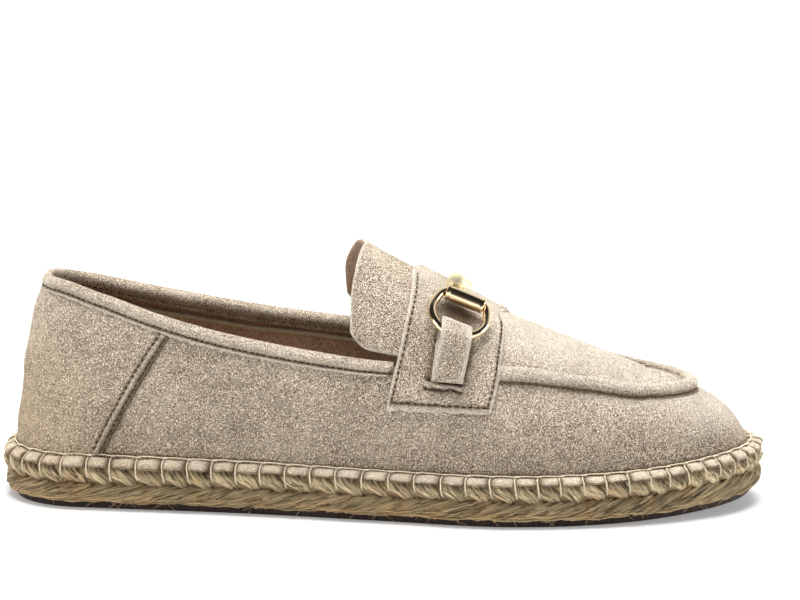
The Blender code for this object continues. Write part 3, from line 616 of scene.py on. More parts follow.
# %% The thread
def thread(name, dark, light):
    """Waxed thread: two tones with its twist."""
    material, tree = new_finish(name, 0.7, 0.5)
    twist = between(tree, grain(tree, 0.35 * MM, detail=1.0), 0.35, 0.65)
    return finished(material, blend_colours(tree, twist, dark, light), twist, 0.4, 0.08 * MM)


seam_thread = thread("seam_thread", (0.034, 0.019, 0.010), (0.105, 0.066, 0.038))
cream_thread = thread("cream_thread", (0.52, 0.43, 0.29), (0.86, 0.77, 0.59))


# %% The rubber
RIB_PITCH = 3.2 * MM  # from one rib of the tread to the next
WAVE_SCALE = 0.314  # a wave texture of this scale has bands a metre apart


def rubber(name, dark, light):
    """Matte moulded rubber: faint clouds, and ribs across the tread."""
    material, tree = new_finish(name, 0.62, 0.35)
    cloud = between(tree, grain(tree, 4 * MM, detail=3.0), 0.3, 0.7)
    place = add_node(tree, "ShaderNodeTexCoord").outputs["Object"]
    ribs = add_node(tree, "ShaderNodeTexWave", {"Vector": place, "Scale": WAVE_SCALE / RIB_PITCH},
                    bands_direction="X").outputs["Fac"]
    colour = blend_colours(tree, cloud, dark, light)
    return finished(material, colour, between(tree, ribs, 0.35, 0.65), 1.0, 0.5 * MM)


dark_rubber = rubber("dark_rubber", (0.016, 0.008, 0.005), (0.038, 0.020, 0.013))


# %% The gold
def plated(name, colour, roughness, metal=1.0):
    """Polished plating: a metal mirror, with a faint breath of uneven polish."""
    material, tree = new_finish(name, roughness, 0.5, Metallic=metal)
    haze = between(tree, grain(tree, 2.5 * MM, detail=3.0), 0.3, 0.7, roughness * 0.8, roughness * 1.3)
    feed(tree, tree.nodes["Principled BSDF"].inputs["Roughness"], haze)
    return finished(material, colour, grain(tree, 5 * MM, detail=1.0), 0.15, 0.05 * MM)


pale_gold = plated("pale_gold", (0.86, 0.69, 0.45), 0.10)
satin_gold = plated("satin_gold", (0.92, 0.79, 0.53), 0.42, metal=0.75)
print("finishes:", [material.name for material in bpy.data.materials])

# %% [markdown]
# ## The upper
# The upper is one skin of suede, drawn over the last and sewn round the sole. A loft of a
# few hand-made curves would do it, but the formula of the last gives any fineness, so the
# wall is a grid: columns round the foot, rows up to the topline. In front of the throat
# the columns go on over the top to the ridge, where each meets the one opposite.
# A Solidify modifier then gives the wall its thickness inward, lined in brown.
# The marks come from places: the heel has yellowed, the toe has a painted highlight, and the
# wall has painted shade just above the hem, fading upward.

# %% Columns round the foot
THROAT_TURN = float(turn_of(THROAT, OUTER))
REAR_COLUMNS, FRONT_COLUMNS = 150, 110  # of one side, behind the throat and before it
rear = turn_at_run(np.linspace(0, run_of(THROAT_TURN), REAR_COLUMNS + 1))
front = turn_at_run(np.linspace(run_of(THROAT_TURN), LENGTH_ROUND / 2, FRONT_COLUMNS + 1))
front[-1] = 0.5
half_round = np.concatenate([rear, front[1:]])
upper_turns = np.concatenate([half_round, 1 - half_round[-2:0:-1]])
topline = shoulder_climb(upper_turns)
print("columns:", len(upper_turns))

# %% The hem's height round the sole
HEM_SPAN = np.array([  # along, height of its middle in mm, share of the profile's height
    (0.00, 16.4, 0.92),
    (0.10, 16.4, 0.90),
    (0.33, 16.3, 0.74),
    (0.55, 15.85, 0.60),
    (0.80, 15.9, 0.62),
    (1.00, 16.2, 0.80)])
HEM_MIDDLE, HEM_SHARE = 1, 2


def hem_height(run, height):
    """A height of the profile as it lies at a place round the sole."""
    along = along_of(turn_at_run(run))
    middle = from_table(HEM_SPAN, HEM_MIDDLE, along) * MM
    return middle + (height - 16.2 * MM) * from_table(HEM_SPAN, HEM_SHARE, along)


# %% The wall's rows, and the apron's
WALL_SHARE = np.append(np.linspace(0, 0.14, 15)[:-1], np.linspace(0.14, 1, 32))
WALL_ROWS, APRON_ROWS = len(WALL_SHARE), 30
UNDER_HEM = 1.5 * MM  # the wall's foot is tucked down behind the hem
HEM_TOP = 18.9 * MM  # where the wall goes down behind the hem
SHADE_FADE_HIGH = 22 * MM  # the painted shade fades out this far above the hem
# how dark that painted shade is just above the hem, on the rear half and on the front half
SHADE_FADE_REAR, SHADE_FADE_FRONT = 0.17, 0.23


# %% Wear and shade by place
def mark_of_heel(points):
    """Yellowed nap: strongest low on the heel."""
    x, z = points[..., 0] / MM, points[..., 2] / MM
    return held(0.8 * bell(x, 36) * bell(z - 32, 26)
                   + 0.6 * bell(z - 15, 5) * bell(x - 30, 45))


def seam_shade(away, width, depth=1.0):
    """Shade that fades from a seam over a width."""
    return depth * bell(away, width)


def above_hem_shade(turns, points):
    """Painted shade: a dark line where a surface dips behind the hem, and shade fading upward above it."""
    above = points[..., 2] - hem_height(run_of(turns), HEM_TOP) - lift(points[..., 0])
    most = np.where(points[..., 0] > SOLE_LENGTH / 2, SHADE_FADE_FRONT, SHADE_FADE_REAR)
    fading_shade = most * held(1 - above / SHADE_FADE_HIGH)
    return np.maximum(seam_shade(above, 0.75 * MM, 0.6), fading_shade)


def painted_toe_highlight(points):
    """Painted highlight over the toe: a bell along the shoe, from 24 mm up."""
    pale = 0.4 * bell(points[:, 0] - 0.955 * SOLE_LENGTH, 17 * MM)
    return pale * held((points[:, 2] - 24 * MM) / (10 * MM))


# %% Wall and apron
LINING_SHADE_BELOW = 5.4 * MM  # the shadow on the lining, below the topline


def make_upper():
    """Wall and apron as one grid of points, joined over the ridge.

    On the ridge the turn stops just short of the toe, where a rib has no direction.
    """
    count = len(upper_turns)
    climb = WALL_SHARE[:, None] * topline[None]
    wall = skin(upper_turns[None], climb)
    wall[0] -= (0, 0, UNDER_HEM)
    apron = np.arange(REAR_COLUMNS, count - REAR_COLUMNS + 1)
    over = np.linspace(0, 1, APRON_ROWS + 1)[1:-1, None]
    apron_climb = topline[apron] + (1 - topline[apron]) * over
    apron_points = skin(upper_turns[apron][None], apron_climb)
    ridge = skin(np.minimum(half_round[REAR_COLUMNS:], 0.499), 1.0)
    first, span = WALL_ROWS * count, len(apron)
    rows = [(WALL_ROWS - 1) * count + apron]
    rows += list(first + np.arange(APRON_ROWS - 1)[:, None] * span + np.arange(span))
    to_ridge = np.arange(span)
    rows.append(first + (APRON_ROWS - 1) * span + np.minimum(to_ridge, span - 1 - to_ridge))
    rows = np.stack(rows)
    faces = np.stack([rows[:-1, :-1], rows[:-1, 1:], rows[1:, 1:], rows[1:, :-1]], -1).reshape(-1, 4)
    faces = np.concatenate([grid_faces(WALL_ROWS, count, closed_columns=True), faces])
    points = np.concatenate([wall.reshape(-1, 3), apron_points.reshape(-1, 3), ridge])
    low_shade = above_hem_shade(upper_turns[None], wall)
    shade = np.concatenate([low_shade.ravel(), np.zeros(len(points) - low_shade.size)])
    below = wall[-1:, :, 2] - wall[..., 2]
    band = np.zeros(len(points))
    band[:below.size] = seam_shade(below - LINING_SHADE_BELOW, 1.6 * MM).ravel()
    piece = make_piece("upper_suede", points, faces, [sand_suede, lit_collar_lining], "suede", ("upper",),
                       {"shaded": shade, "yellowed": mark_of_heel(points), "under_binding": band,
                        "painted_highlight": painted_toe_highlight(points)})
    thickness = piece.modifiers.new("lining", "SOLIDIFY")
    thickness.thickness, thickness.offset = WALL, -1
    thickness.material_offset = thickness.material_offset_rim = 1


make_upper()

# %% [markdown]
# ## Sheets laid on the upper
# The counter, the strap and the tongue are cut sheets. Each is a grid on the last, and
# its outer face rises from its own cut edge over a small radius, so the edge is rounded.
# Sewing pulls it down again in a channel, and a little more at each needle hole.
# The back face uses the same edge points, so the sheet is closed.


# %% Sizes of the stitches
STITCH, STITCH_GAP = 1.15 * MM, 1.0 * MM  # a stitch's length on top, and the gap to the next
STITCH_PITCH = STITCH + STITCH_GAP
THREAD = 0.32 * MM  # radius


# %% Places across a sheet
def edge_steps(length, radius, rows, between_rows):
    """Distances across a sheet, close together at its two edges and at each row of stitches."""
    near = radius * np.array([0, 0.1, 0.3, 0.6, 1.0])
    spots = [near, length - near]
    for row in rows:
        spots.append(row + 0.28 * MM * np.arange(-3, 4))
    spots.append(np.linspace(radius, length - radius, int(length / between_rows) + 1))
    spots = np.unique(np.concatenate(spots))
    keep = np.concatenate([[True], np.diff(spots) > 0.06 * MM])
    spots = spots[keep & (spots >= 0) & (spots <= length)]
    spots[-1] = length
    return spots


def rounded_edge(away, radius):
    """Share of the full thickness at a distance from the cut edge: a quarter of a circle."""
    return np.sqrt(1 - (1 - held(away / radius)) ** 2)


def stitch_channel(away, along, width=0.45 * MM, depth=0.32 * MM, pull=0.2 * MM):
    """How far sewing pulls the surface down, and its shade, by distance from the row.

    A bell across the row; along it, a little more at each needle hole.
    """
    across = bell(away, width)
    hole = np.cos(np.pi * along / STITCH_PITCH) ** 8
    return -across * (depth + pull * hole), held(across * (0.40 + 0.60 * hole))


def make_sheet(name, outer, inner, shade, rim, stands_for, back=None):
    """A closed suede sheet from a grid of outer points and one of back points, with one border.

    rim is the distance from the cut edge, where a highlight is painted on the nap; back is
    another material for the back face.
    """
    rows, columns = outer.shape[:2]
    border = np.zeros((rows, columns), bool)
    border[[0, -1]], border[:, [0, -1]] = True, True
    number = np.arange(rows * columns).reshape(rows, columns)
    behind = np.where(border, number, number + rows * columns)
    faces = grid_faces(rows, columns)
    back_faces = behind.ravel()[faces][:, ::-1]
    used = np.concatenate([np.ones(rows * columns, bool), ~border.ravel()])
    renumber = np.cumsum(used) - 1
    points = np.concatenate([outer.reshape(-1, 3), inner.reshape(-1, 3)])[used]
    # painted highlight that fades in from the cut edge
    painted_highlight = 0.6 * bell(rim, 0.9 * MM) + 0 * shade
    marks = {"shaded": np.concatenate([shade.ravel(), np.zeros(rows * columns)])[used],
             "painted_highlight": np.concatenate([painted_highlight.ravel(), painted_highlight.ravel()])[used],
             "yellowed": mark_of_heel(points)}
    finish = np.repeat([0, 1 if back else 0], len(faces))
    make_piece(name, points, renumber[np.concatenate([faces, back_faces])],
               [sand_suede, back] if back else [sand_suede], "suede", (stands_for,), marks, finish)


# %% Stitches
STITCH_SINK, STITCH_ARCH = 0.12 * MM, 0.2 * MM  # a stitch's depth in its channel, and its middle's rise


def stitches_along(path, outward, pitch=STITCH_PITCH, length=STITCH):
    """Separate stitches at even lengths along a path: short arched tubes, their ends dived in."""
    run = run_along(path)
    count = max(int(run[-1] / pitch), 1)
    starts = (np.arange(count) + 0.5) * run[-1] / count
    reach = np.linspace(-0.5, 0.5, 7)
    at = (starts[:, None] + reach * length).ravel()
    spots, away = (np.stack([np.interp(at, run, line[:, k]) for k in range(3)], -1).reshape(count, 7, 3)
                   for line in (path, outward))
    away = unit(away)
    bow = 1 - (2 * reach) ** 2
    diving = THREAD * (np.abs(2 * reach) > 0.9)
    spots = spots + away * (STITCH_ARCH * bow - STITCH_SINK - diving)[:, None]
    radii = np.broadcast_to(THREAD * (0.55 + 0.45 * bow ** 0.5), (count, 7))
    return spots, radii, away


def make_thread(name, runs, slot):
    """One mesh from several rows of stitches, each a six-sided tube."""
    spots, radii, away = (np.concatenate(parts) for parts in zip(*runs))
    print("stitches:", len(spots))
    make_piece(name, tube_points(spots, radii, away, 6), tube_faces(*spots.shape[:2], 6), [seam_thread],
               slot)


def row_on_last(turns, climbs, out):
    """A row of places on the folded surface, and the direction straight out at each."""
    path = skin(turns, climbs, out)
    return path, unit(skin(turns, climbs, out + MM) - path)


# %% [markdown]
# ## The heel counter
# A second panel of suede wraps the heel and overlaps the quarters. Its side seams are
# raked forward and sewn with two rows, which leave a rounded, lumpy welt between them.
# The row nearer the seam lies in its fold, so painted shade makes it one dark line.
# Across the panel the grid is measured in millimetres from the seam, so that the rows of
# stitches keep their distance from it.

# %% The heel counter
COUNTER_THICK = 0.8 * MM
COUNTER_TOP = -0.7 * MM  # its top edge below the binding's lower edge
COUNTER_SEAM = 0.145, 0.380  # its side seams' along, at the hem and at the ridge
COUNTER_ROWS = 0.9 * MM, 3.1 * MM  # stitches from the seam
COUNTER_HALF = 70 * MM  # round the heel from its middle to a seam, about
BINDING_DEEP = 4.2 * MM
GAP = 0.3 * MM  # between pieces that touch


def counter_place(side, away, up):
    """Turn and climb on the counter: a distance from one side's seam, and up 0 to 1.

    Near the seam the distance is true; toward the heel's middle it is drawn out to fit.
    """
    side, away, up = np.broadcast_arrays(side, away, up)
    low, high = COUNTER_SEAM
    half = COUNTER_HALF * (0.80 + 0.33 * up)
    across = -side * (1 - away / half + (COUNTER_HALF / half - 1) * (away / COUNTER_HALF) ** 2)
    top = np.full(across.shape, 0.4)
    for _ in range(3):
        turn = (across * turn_of(low + (high - low) * (top * up), OUTER)) % 1
        edge_turn = (across * turn_of(low + (high - low) * top, OUTER)) % 1
        top = shoulder_climb(edge_turn, below=BINDING_DEEP + COUNTER_TOP)
    return turn, top * up


def make_counter():
    """The panel: welt and channels near both seams, plain over the heel."""
    steps = edge_steps(2 * COUNTER_HALF, 0.6 * MM,
                       [d for row in COUNTER_ROWS for d in (row, 2 * COUNTER_HALF - row)], 1.6 * MM)
    upward = np.linspace(0, 1, 110)[:, None]
    away = np.minimum(steps, 2 * COUNTER_HALF - steps)[None]
    turn, climb = counter_place(np.where(steps < COUNTER_HALF, INNER, OUTER)[None], away, upward)
    height = 48 * MM * upward
    out = np.full(turn.shape, 1.5 * GAP + COUNTER_THICK)
    shade = np.zeros(turn.shape)
    for row in COUNTER_ROWS:
        pull, dark = stitch_channel(away - row, height, 0.5 * MM, 0.4 * MM, 0.25 * MM)
        out = out + pull
        # the row nearer the seam gets the painted shade of its fold
        if row == COUNTER_ROWS[0]:
            dark = 0.9 * seam_shade(away - row, 0.55 * MM) + 0 * height
        shade = np.maximum(shade, dark)
    welt = bell(away - np.mean(COUNTER_ROWS), 0.7 * MM)
    lumps = 1 + 0.75 * np.sin(height / (0.26 * MM)) * np.sin(height / (1.9 * MM) + 1)
    out = out + 0.7 * MM * welt * lumps
    edge = rounded_edge(away, 0.6 * MM) * rounded_edge(height + 0.01 * MM, 0.6 * MM)
    to_top = held((height[-1] - height) / (8 * MM))
    edge = edge * (0.3 + 0.7 * to_top * to_top * (3 - 2 * to_top))
    edge[0] = edge[-1] = 0
    base = 0.6 * GAP
    out = base + (out - base) * edge
    shade = np.maximum(shade, seam_shade(away, 0.8 * MM, 0.95))
    shade = np.maximum(shade, above_hem_shade(turn, skin(turn, climb)))
    # the welt's lumps count as near the rim, so they get the painted highlight of a cut edge
    rim = 1.6 * MM * (1 - 0.45 * welt * lumps)
    make_sheet("heel_counter_suede", skin(turn, climb, out), skin(turn, climb, base), shade, rim,
               "heel_counter")


make_counter()


# %% The counter's stitches
def counter_rows():
    """Two rows beside each seam, carried up the panel at a fixed distance from it."""
    upward = np.linspace(0.06, 0.955, 60)
    runs = []
    for row in COUNTER_ROWS:
        for side in (OUTER, INNER):
            turns, climbs = counter_place(side, row, upward)
            path, away = row_on_last(turns, climbs, 1.5 * GAP + COUNTER_THICK - 0.25 * MM)
            runs.append(stitches_along(path, away))
    return runs


make_thread("counter_stitches", counter_rows(), "suede")

# %% [markdown]
# ## The collar's binding
# A strip of suede is folded over the topline and sewn through, a little above its raw
# lower edge. On the real shoe it is padded by the folded seam inside it, so its profile is
# a rounded roll above the stitches and a thin flat lip below them.
# The profile is a short table, carried round the topline from strap to strap.

# %% The binding
BINDING_END = 0.530  # share of the length where it meets the strap
BINDING_RAKE = 0.012  # slant of its ends, a share of turn
BINDING_ROW = 1.45 * MM  # its stitches above its lower edge
BINDING_STATIONS = 420
BINDING_PROFILE = np.array([  # height on the outer side (mm below the fold), height above the wall
    (-4.2, 0.10), (-4.18, 0.45), (-4.0, 0.72), (-3.6, 0.85), (-3.2, 0.70), (-2.95, 0.40), (-2.75, 0.18),
    (-2.55, 0.40), (-2.3, 0.95), (-1.9, 1.35), (-1.3, 1.62), (-0.6, 1.70), (0.1, 1.50), (0.75, 1.10),
    (1.2, 0.55)])
RAW_LIP, ROLL_TOP = slice(1, 4), slice(8, 13)  # rows of that table where a highlight is painted on the nap


def run_from_heel(turns):
    """Distance round the outline from the middle of the heel."""
    run = run_of(turns % 1)
    return np.minimum(run, LENGTH_ROUND - run)


# %% Places along the topline, from strap to strap
binding_end = run_of(float(turn_of(BINDING_END, OUTER)))
binding_turns = turn_at_run(np.linspace(binding_end, -binding_end, BINDING_STATIONS))
binding_signed = np.where(binding_turns > 0.5, binding_turns - 1, binding_turns)
binding_rim = shoulder_climb(binding_turns)
binding_up, binding_per_climb = way_up(binding_turns, binding_rim)
at_heel = bell(run_from_heel(binding_turns), 22 * MM)
print("binding, mm:", round(2 * binding_end / MM, 1))


def binding_place(height, out):
    """A place by its height over the topline and its distance out, which is less at the heel."""
    out = out * (1 - 0.5 * bell(run_from_heel(binding_turns), 32 * MM))
    climb = binding_rim + np.minimum(height, 0) / binding_per_climb
    raked = binding_signed * (1 + BINDING_RAKE * np.minimum(height, 0) / BINDING_DEEP)
    return skin(raked % 1, climb, out) + binding_up * np.maximum(height, 0)[..., None]


def make_binding():
    """The folded strip: the table up the outer face, over the fold and down the inner one."""
    count = np.arange(BINDING_STATIONS)
    level = np.zeros(BINDING_STATIONS)
    heights, bulges = BINDING_PROFILE.T * MM
    wobble = 0.32 * MM * np.sin(count * 0.9) * np.sin(count * 0.37 + 1)
    run = count * 0.97 * MM
    hole = np.cos(np.pi * run / STITCH_PITCH) ** 8
    corners, shade = [], []
    for height, out in zip(heights, bulges):
        at_row = bell(height + BINDING_DEEP - BINDING_ROW, 0.6 * MM)
        low = wobble if height < -3.9 * MM else 0.0
        under = 0.3 * (height < -4.15 * MM)
        corners.append(binding_place(height + low + level, GAP + out - 0.18 * MM * at_row * hole))
        shade.append(held(at_row * (1 - 0.75 * at_heel) * (0.5 + 0.5 * hole) + under))
    inside, bottom = -(WALL + GAP), heights[0]
    corners.append(binding_place(level + 1.6 * MM, -WALL / 2))
    corners += [binding_place(height + level, inside - out)
                for height, out in zip(heights[::-1], bulges[::-1])]
    corners += [binding_place(height + level, out)
                for height, out in ((bottom, inside), (GAP, inside), (GAP, GAP), (bottom, GAP))]
    shade += [level] * (len(corners) - len(shade))
    points = np.stack(corners, 1)
    sections, sides = points.shape[:2]
    # painted highlight on the raw lip and on the roll's top
    lip = np.zeros(sides)
    lip[RAW_LIP], lip[ROLL_TOP] = 0.5, 0.18
    make_piece("collar_binding_suede", points, carried_faces(sections, sides), [sand_suede], "suede",
               ("collar_binding",),
               {"shaded": np.stack(shade, 1), "yellowed": mark_of_heel(points), "painted_highlight": lip})


def binding_rows():
    """One row of stitches on the outer face and one on the inner, sunk in its channel."""
    row = binding_rim + (BINDING_ROW - BINDING_DEEP) / binding_per_climb
    outer = row_on_last(binding_signed % 1, row, GAP + 0.22 * MM - 0.35 * MM * at_heel)
    inner, outward = row_on_last(binding_signed % 1, row, -(WALL + GAP + 0.22 * MM))
    return [stitches_along(*outer), stitches_along(inner + 0.25 * MM * outward, -outward)]


make_binding()
make_thread("binding_stitches", binding_rows(), "suede")

# %% [markdown]
# ## The fold of the lining
# Below the binding the lining is a little loose, and it lies in one long soft fold round
# the collar. It is a thin cord of skin on the inside of the wall, with two slow waves in
# its height, and it thins out to nothing at the strap.

# %% The fold inside the collar
FOLD_BELOW, FOLD_RADIUS = 6.6 * MM, 0.85 * MM  # from the topline down to it


def make_lining_fold():
    """A soft cord of suede along the inside of the wall, thin at both ends."""
    stations, sides = 300, 12
    runs = np.linspace(binding_end, -binding_end, stations)
    turns = turn_at_run(runs) % 1
    below = FOLD_BELOW + 0.35 * MM * np.sin(runs / (17 * MM)) + 0.15 * MM * np.sin(runs / (6 * MM))
    path = skin(turns, shoulder_climb(turns, below), -(WALL + 0.35 * MM))
    radii = FOLD_RADIUS * np.clip((binding_end - np.abs(runs)) / (6 * MM), 0.1, 1)
    points = tube_points(path[None], radii[None], np.array([0.0, 0.0, 1.0]), sides)
    # painted highlight on the fold, with a little painted shade
    make_piece("lining_fold", points, tube_faces(1, stations, sides), [sand_suede], "suede", ("upper",),
               {"painted_highlight": 0.6, "shaded": 0.08, "yellowed": 0.9})


make_lining_fold()

# %% [markdown]
# ## The rolled apron seam
# Round the toe, the apron and the vamp's wall are sewn together over a cord, so the seam
# stands up as a soft roll with a crease under it. It is a profile carried round the
# apron's edge: half a circle, a little squared, with a flat back on the upper.
# It pinches where it goes under the strap, and lies flatter along the inner side.

# %% The roll
RIDGE_FROM = 0.675  # share of the length where it goes under the strap
RIDGE_WIDE, RIDGE_HIGH = 5.2 * MM, 2.8 * MM
RIDGE_BASE = 0.12 * MM  # its back above the upper


def make_roll():
    """Half a squared circle carried along the seam: -cos across, sin^0.8 high."""
    start = run_of(float(turn_of(RIDGE_FROM, OUTER)))
    stations, around = 300, 20
    runs = np.linspace(start, LENGTH_ROUND - start, stations)
    turns = turn_at_run(runs)
    seam = shoulder_climb(turns)
    per_climb = way_up(turns, seam)[1]
    spin = np.linspace(0, np.pi, around)
    side = np.concatenate([[-1.5, -1.25], -np.cos(spin) * (1 + 0.12 * np.sin(spin) ** 2), [1.3, 1.7]])
    high = np.concatenate([[-0.03, 0.0], 0.03 + np.sin(spin) ** 0.8, [0.0, -0.03]])
    from_end = np.minimum(runs - runs[0], runs[-1] - runs)
    softly = 1 + 0.05 * np.sin(runs / (7 * MM)) * np.sin(runs / (3.1 * MM))
    softly = softly - 0.55 * bell(from_end, 2.2 * MM)
    softly = softly * (1 - 0.65 * (turns > 0.5) * held((0.90 - along_of(turns)) / 0.10))
    corners = [skin(turns, seam + across * RIDGE_WIDE / 2 / per_climb, RIDGE_BASE + RIDGE_HIGH * up * softly)
               for across, up in zip(side, high)]
    corners.append(skin(turns, seam, RIDGE_BASE))
    points = np.stack(corners, 1)
    shade = np.zeros(points.shape[:2])
    shade[:, :5] = [0.0, 0.75, 1.0, 0.6, 0.15]
    shade[:, -6:-1] = [0.15, 0.35, 0.5, 0.35, 0.0]
    # painted highlight along the roll's top
    bright = np.zeros(points.shape[1])
    bright[7:-6] = 0.25
    make_piece("apron_roll", points, carried_faces(*points.shape[:2]), [sand_suede], "suede",
               ("apron_ridge",), {"shaded": shade, "painted_highlight": bright})


make_roll()

# %% [markdown]
# ## The tongue
# The free end of the apron arches over the instep and flares at its rear edge. It is
# suede outside and brown lining under, and its rim is a clean rounded cut.

# %% The tongue
TONGUE_THICK, TONGUE_FLARE = 2.0 * MM, 1.2 * MM
TONGUE_WIDE, TONGUE_LONG = 124 * MM, 32 * MM
TONGUE_REAR = np.array([  # climb, rear edge's x on the outer side and on the inner side
    (0.40, 122.8, 116.2),
    (0.57, 122.5, 115.8),
    (0.75, 123.4, 119.0),
    (1.00, 124.6, 124.6)])


def tongue_place(back, across):
    """Turn and climb on the tongue: back 0 at the vamp to 1, across -1 to 1."""
    back, across = np.broadcast_arrays(back, across)
    front = THROAT - 0.003
    corner = held((back - 0.75) / 0.25) ** 2.5
    side = np.where(across < 0, OUTER, INNER)
    edge = shoulder_climb(turn_of(front - 0.12 * back, side)) + 0.03 + 0.02 * back + 0.05 * corner
    climb = 1 - (1 - edge) * np.abs(across)
    rear = by_side(TONGUE_REAR, across < 0, climb) * MM
    start = last_point(turn_of(front, side), climb)[..., 0]
    return turn_at(start + (rear - start) * back, climb, side), climb


def make_tongue():
    """Sheet flared at its rear edge; its back face is lining."""
    back = edge_steps(TONGUE_LONG, 0.9 * MM, [], 0.8 * MM)[:, None] / TONGUE_LONG
    across = edge_steps(TONGUE_WIDE, 0.9 * MM, [], 1.0 * MM)[None] / TONGUE_WIDE * 2 - 1
    turn, climb = tongue_place(back, across)
    flare = TONGUE_FLARE * held((back - 0.6) / 0.4) ** 2
    to_side, to_rear = (1 - np.abs(across)) * TONGUE_WIDE / 2, (1 - back) * TONGUE_LONG
    edge = rounded_edge(to_side, 0.9 * MM) * rounded_edge(to_rear, 0.9 * MM)
    middle = flare - TONGUE_THICK / 2 + 0 * turn
    rim = np.minimum(to_side, to_rear)
    shade = seam_shade(rim - 1.7 * MM, 0.5 * MM, 0.2)
    outer = skin(turn, climb, middle + TONGUE_THICK / 2 * edge)
    inner = skin(turn, climb, middle - TONGUE_THICK / 2 * edge)
    make_sheet("tongue_suede", outer[:, ::-1], inner[:, ::-1], shade[:, ::-1], rim[:, ::-1],
               "tongue", back=brown_lining)


make_tongue()

# %% [markdown]
# ## The saddle strap
# A doubled band of suede crosses the instep over the tongue. It is sewn along both
# edges, and across each end by a row, below which its raw fold shows as a thin wavy lip.
# Near each end the keeper comes out of a slit, with a puffed lip and a crease below it.
# Places on it are distances from its outer end and from its rear edge, so rows keep
# their distance. Toward the crest the rows sink into the nap until they can't be seen.

# %% The strap
STRAP_ALONG = 0.52, 0.66  # share of the length at the strap's ends, rear and front
STRAP_THICK = 1.8 * MM
STRAP_END = {OUTER: 37.2 * MM, INNER: 28.2 * MM}  # heights of its ends
STRAP_WIDE = 32.5 * MM
STRAP_ROW, STRAP_END_ROW = 1.5 * MM, 2.5 * MM  # stitches from its long edges and from its ends
STRAP_EDGES = np.array([  # climb, rear edge's x, front edge's x
    (0.20, 135.4, 169.5),
    (0.50, 140.2, 173.0),
    (0.75, 141.9, 173.4),
    (1.00, 140.8, 170.9)])
STRAP_REAR, STRAP_FRONT = 1, 2


def strap_low(across, forward):
    """The climb where the strap ends, on the side that a place is on."""
    rear_along, front_along = STRAP_ALONG
    side = np.where(across < 0, OUTER, INNER)
    return climb_at_height(turn_of(rear_along + (front_along - rear_along) * forward, side),
                           np.where(across < 0, STRAP_END[OUTER], STRAP_END[INNER]))


def strap_place(across, forward):
    """Turn and climb on the strap: across -1 outer end to 1 inner end, forward 0 to 1."""
    across, forward = np.broadcast_arrays(np.asarray(across, float), np.asarray(forward, float))
    side = np.where(across < 0, OUTER, INNER)
    climb = 1 - (1 - strap_low(across, forward)) * np.abs(across)
    rear = from_table(STRAP_EDGES, STRAP_REAR, climb)
    ahead = from_table(STRAP_EDGES, STRAP_FRONT, climb)
    return turn_at((rear + (ahead - rear) * forward) * MM, climb, side), climb


# %% Distances along the strap
strap_across = np.linspace(-1, 1, 801)
strap_middle = last_point(*strap_place(strap_across, 0.5))
strap_run = run_along(strap_middle)
STRAP_LONG = strap_run[-1]
STRAP_CREST = np.interp(0, strap_across, strap_run) + 5 * MM  # where its rows are deepest in the nap
CREST_BARE, CREST_THIN = 13 * MM, 18 * MM  # how far from there rows are sunk, and the strap is thin
CREST_DEEP = 0.95 * MM  # how much thinner its front edge is there
KEEPER_SLIT = {OUTER: 0.37, INNER: 0.19}  # climb of the slit that the tab comes out of
KEEPER_WIDE, KEEPER_THICK = 10.6 * MM, 1.0 * MM
RING_CLIMB = {OUTER: 0.695, INNER: 0.465}


def climb_distance(side, climb):
    """How far along the strap a climb on one side lies."""
    across = side * (1 - climb) / (1 - strap_low(np.array(side * 1.0), 0.5))
    return float(np.interp(across, strap_across, strap_run))


SLITS = [climb_distance(side, KEEPER_SLIT[side]) for side in (OUTER, INNER)]
SLIT_ROW = SLITS[0] - 2.6 * MM  # stitches below the outer slit
RINGS = [climb_distance(side, RING_CLIMB[side]) for side in (OUTER, INNER)]
print("strap, mm:", round(STRAP_LONG / MM, 1), "slits at", np.round(np.array(SLITS) / MM, 1))


def along_strap(distance, forward):
    """Turn and climb at a distance from the strap's outer end."""
    return strap_place(np.interp(distance, strap_run, strap_across), forward)


# %% Relief of the strap
def near_crest(distance, reach, power):
    """A bell round the strap's crest, flatter on top with a higher power."""
    return bell(distance - STRAP_CREST, reach, power)


def slit_relief(length, width):
    """Slit, puffed lip, crease, painted shadow by keeper and ring: rise, shade, painted lip highlight.

    Each is a bell across its own line, as wide as the keeper and a little more.
    """
    centre = np.abs(width - STRAP_WIDE * 0.5)
    wave = 0.3 * MM * np.sin(width / (1.7 * MM)) + 0.2 * MM * np.sin(width / (0.8 * MM))
    beside = held((KEEPER_WIDE / 2 + 1.6 * MM - centre) / (1.5 * MM))
    rise, shade, lip_highlight = (np.zeros(np.broadcast(length, width).shape) for _ in range(3))
    for slit, ring in zip(SLITS, RINGS):
        inward = np.sign(ring - slit)
        below = (slit - length) * inward
        cut = bell(length - slit + 0.4 * wave, 0.6 * MM) * beside
        lip = bell(below - 1.35 * MM, 0.75 * MM) * beside
        crease = bell(below - 2.6 * MM - wave, 0.5 * MM) * beside
        rise = rise - 1.2 * MM * cut + (0.9 * MM + 0.8 * wave) * lip - 0.8 * MM * crease
        in_ring = bell(np.hypot(length - ring - inward * 2.0 * MM, centre), 6.8 * MM, 4)
        along_keeper = (below < 0) & ((ring - length) * inward > 2 * MM)
        contact = bell(centre - KEEPER_WIDE / 2, 1.3 * MM) * along_keeper
        for dark in (cut, crease, 0.97 * in_ring, 0.85 * contact):
            shade = np.maximum(shade, dark)
        lip_highlight = np.maximum(lip_highlight, 0.6 * lip)
    return rise, shade, lip_highlight


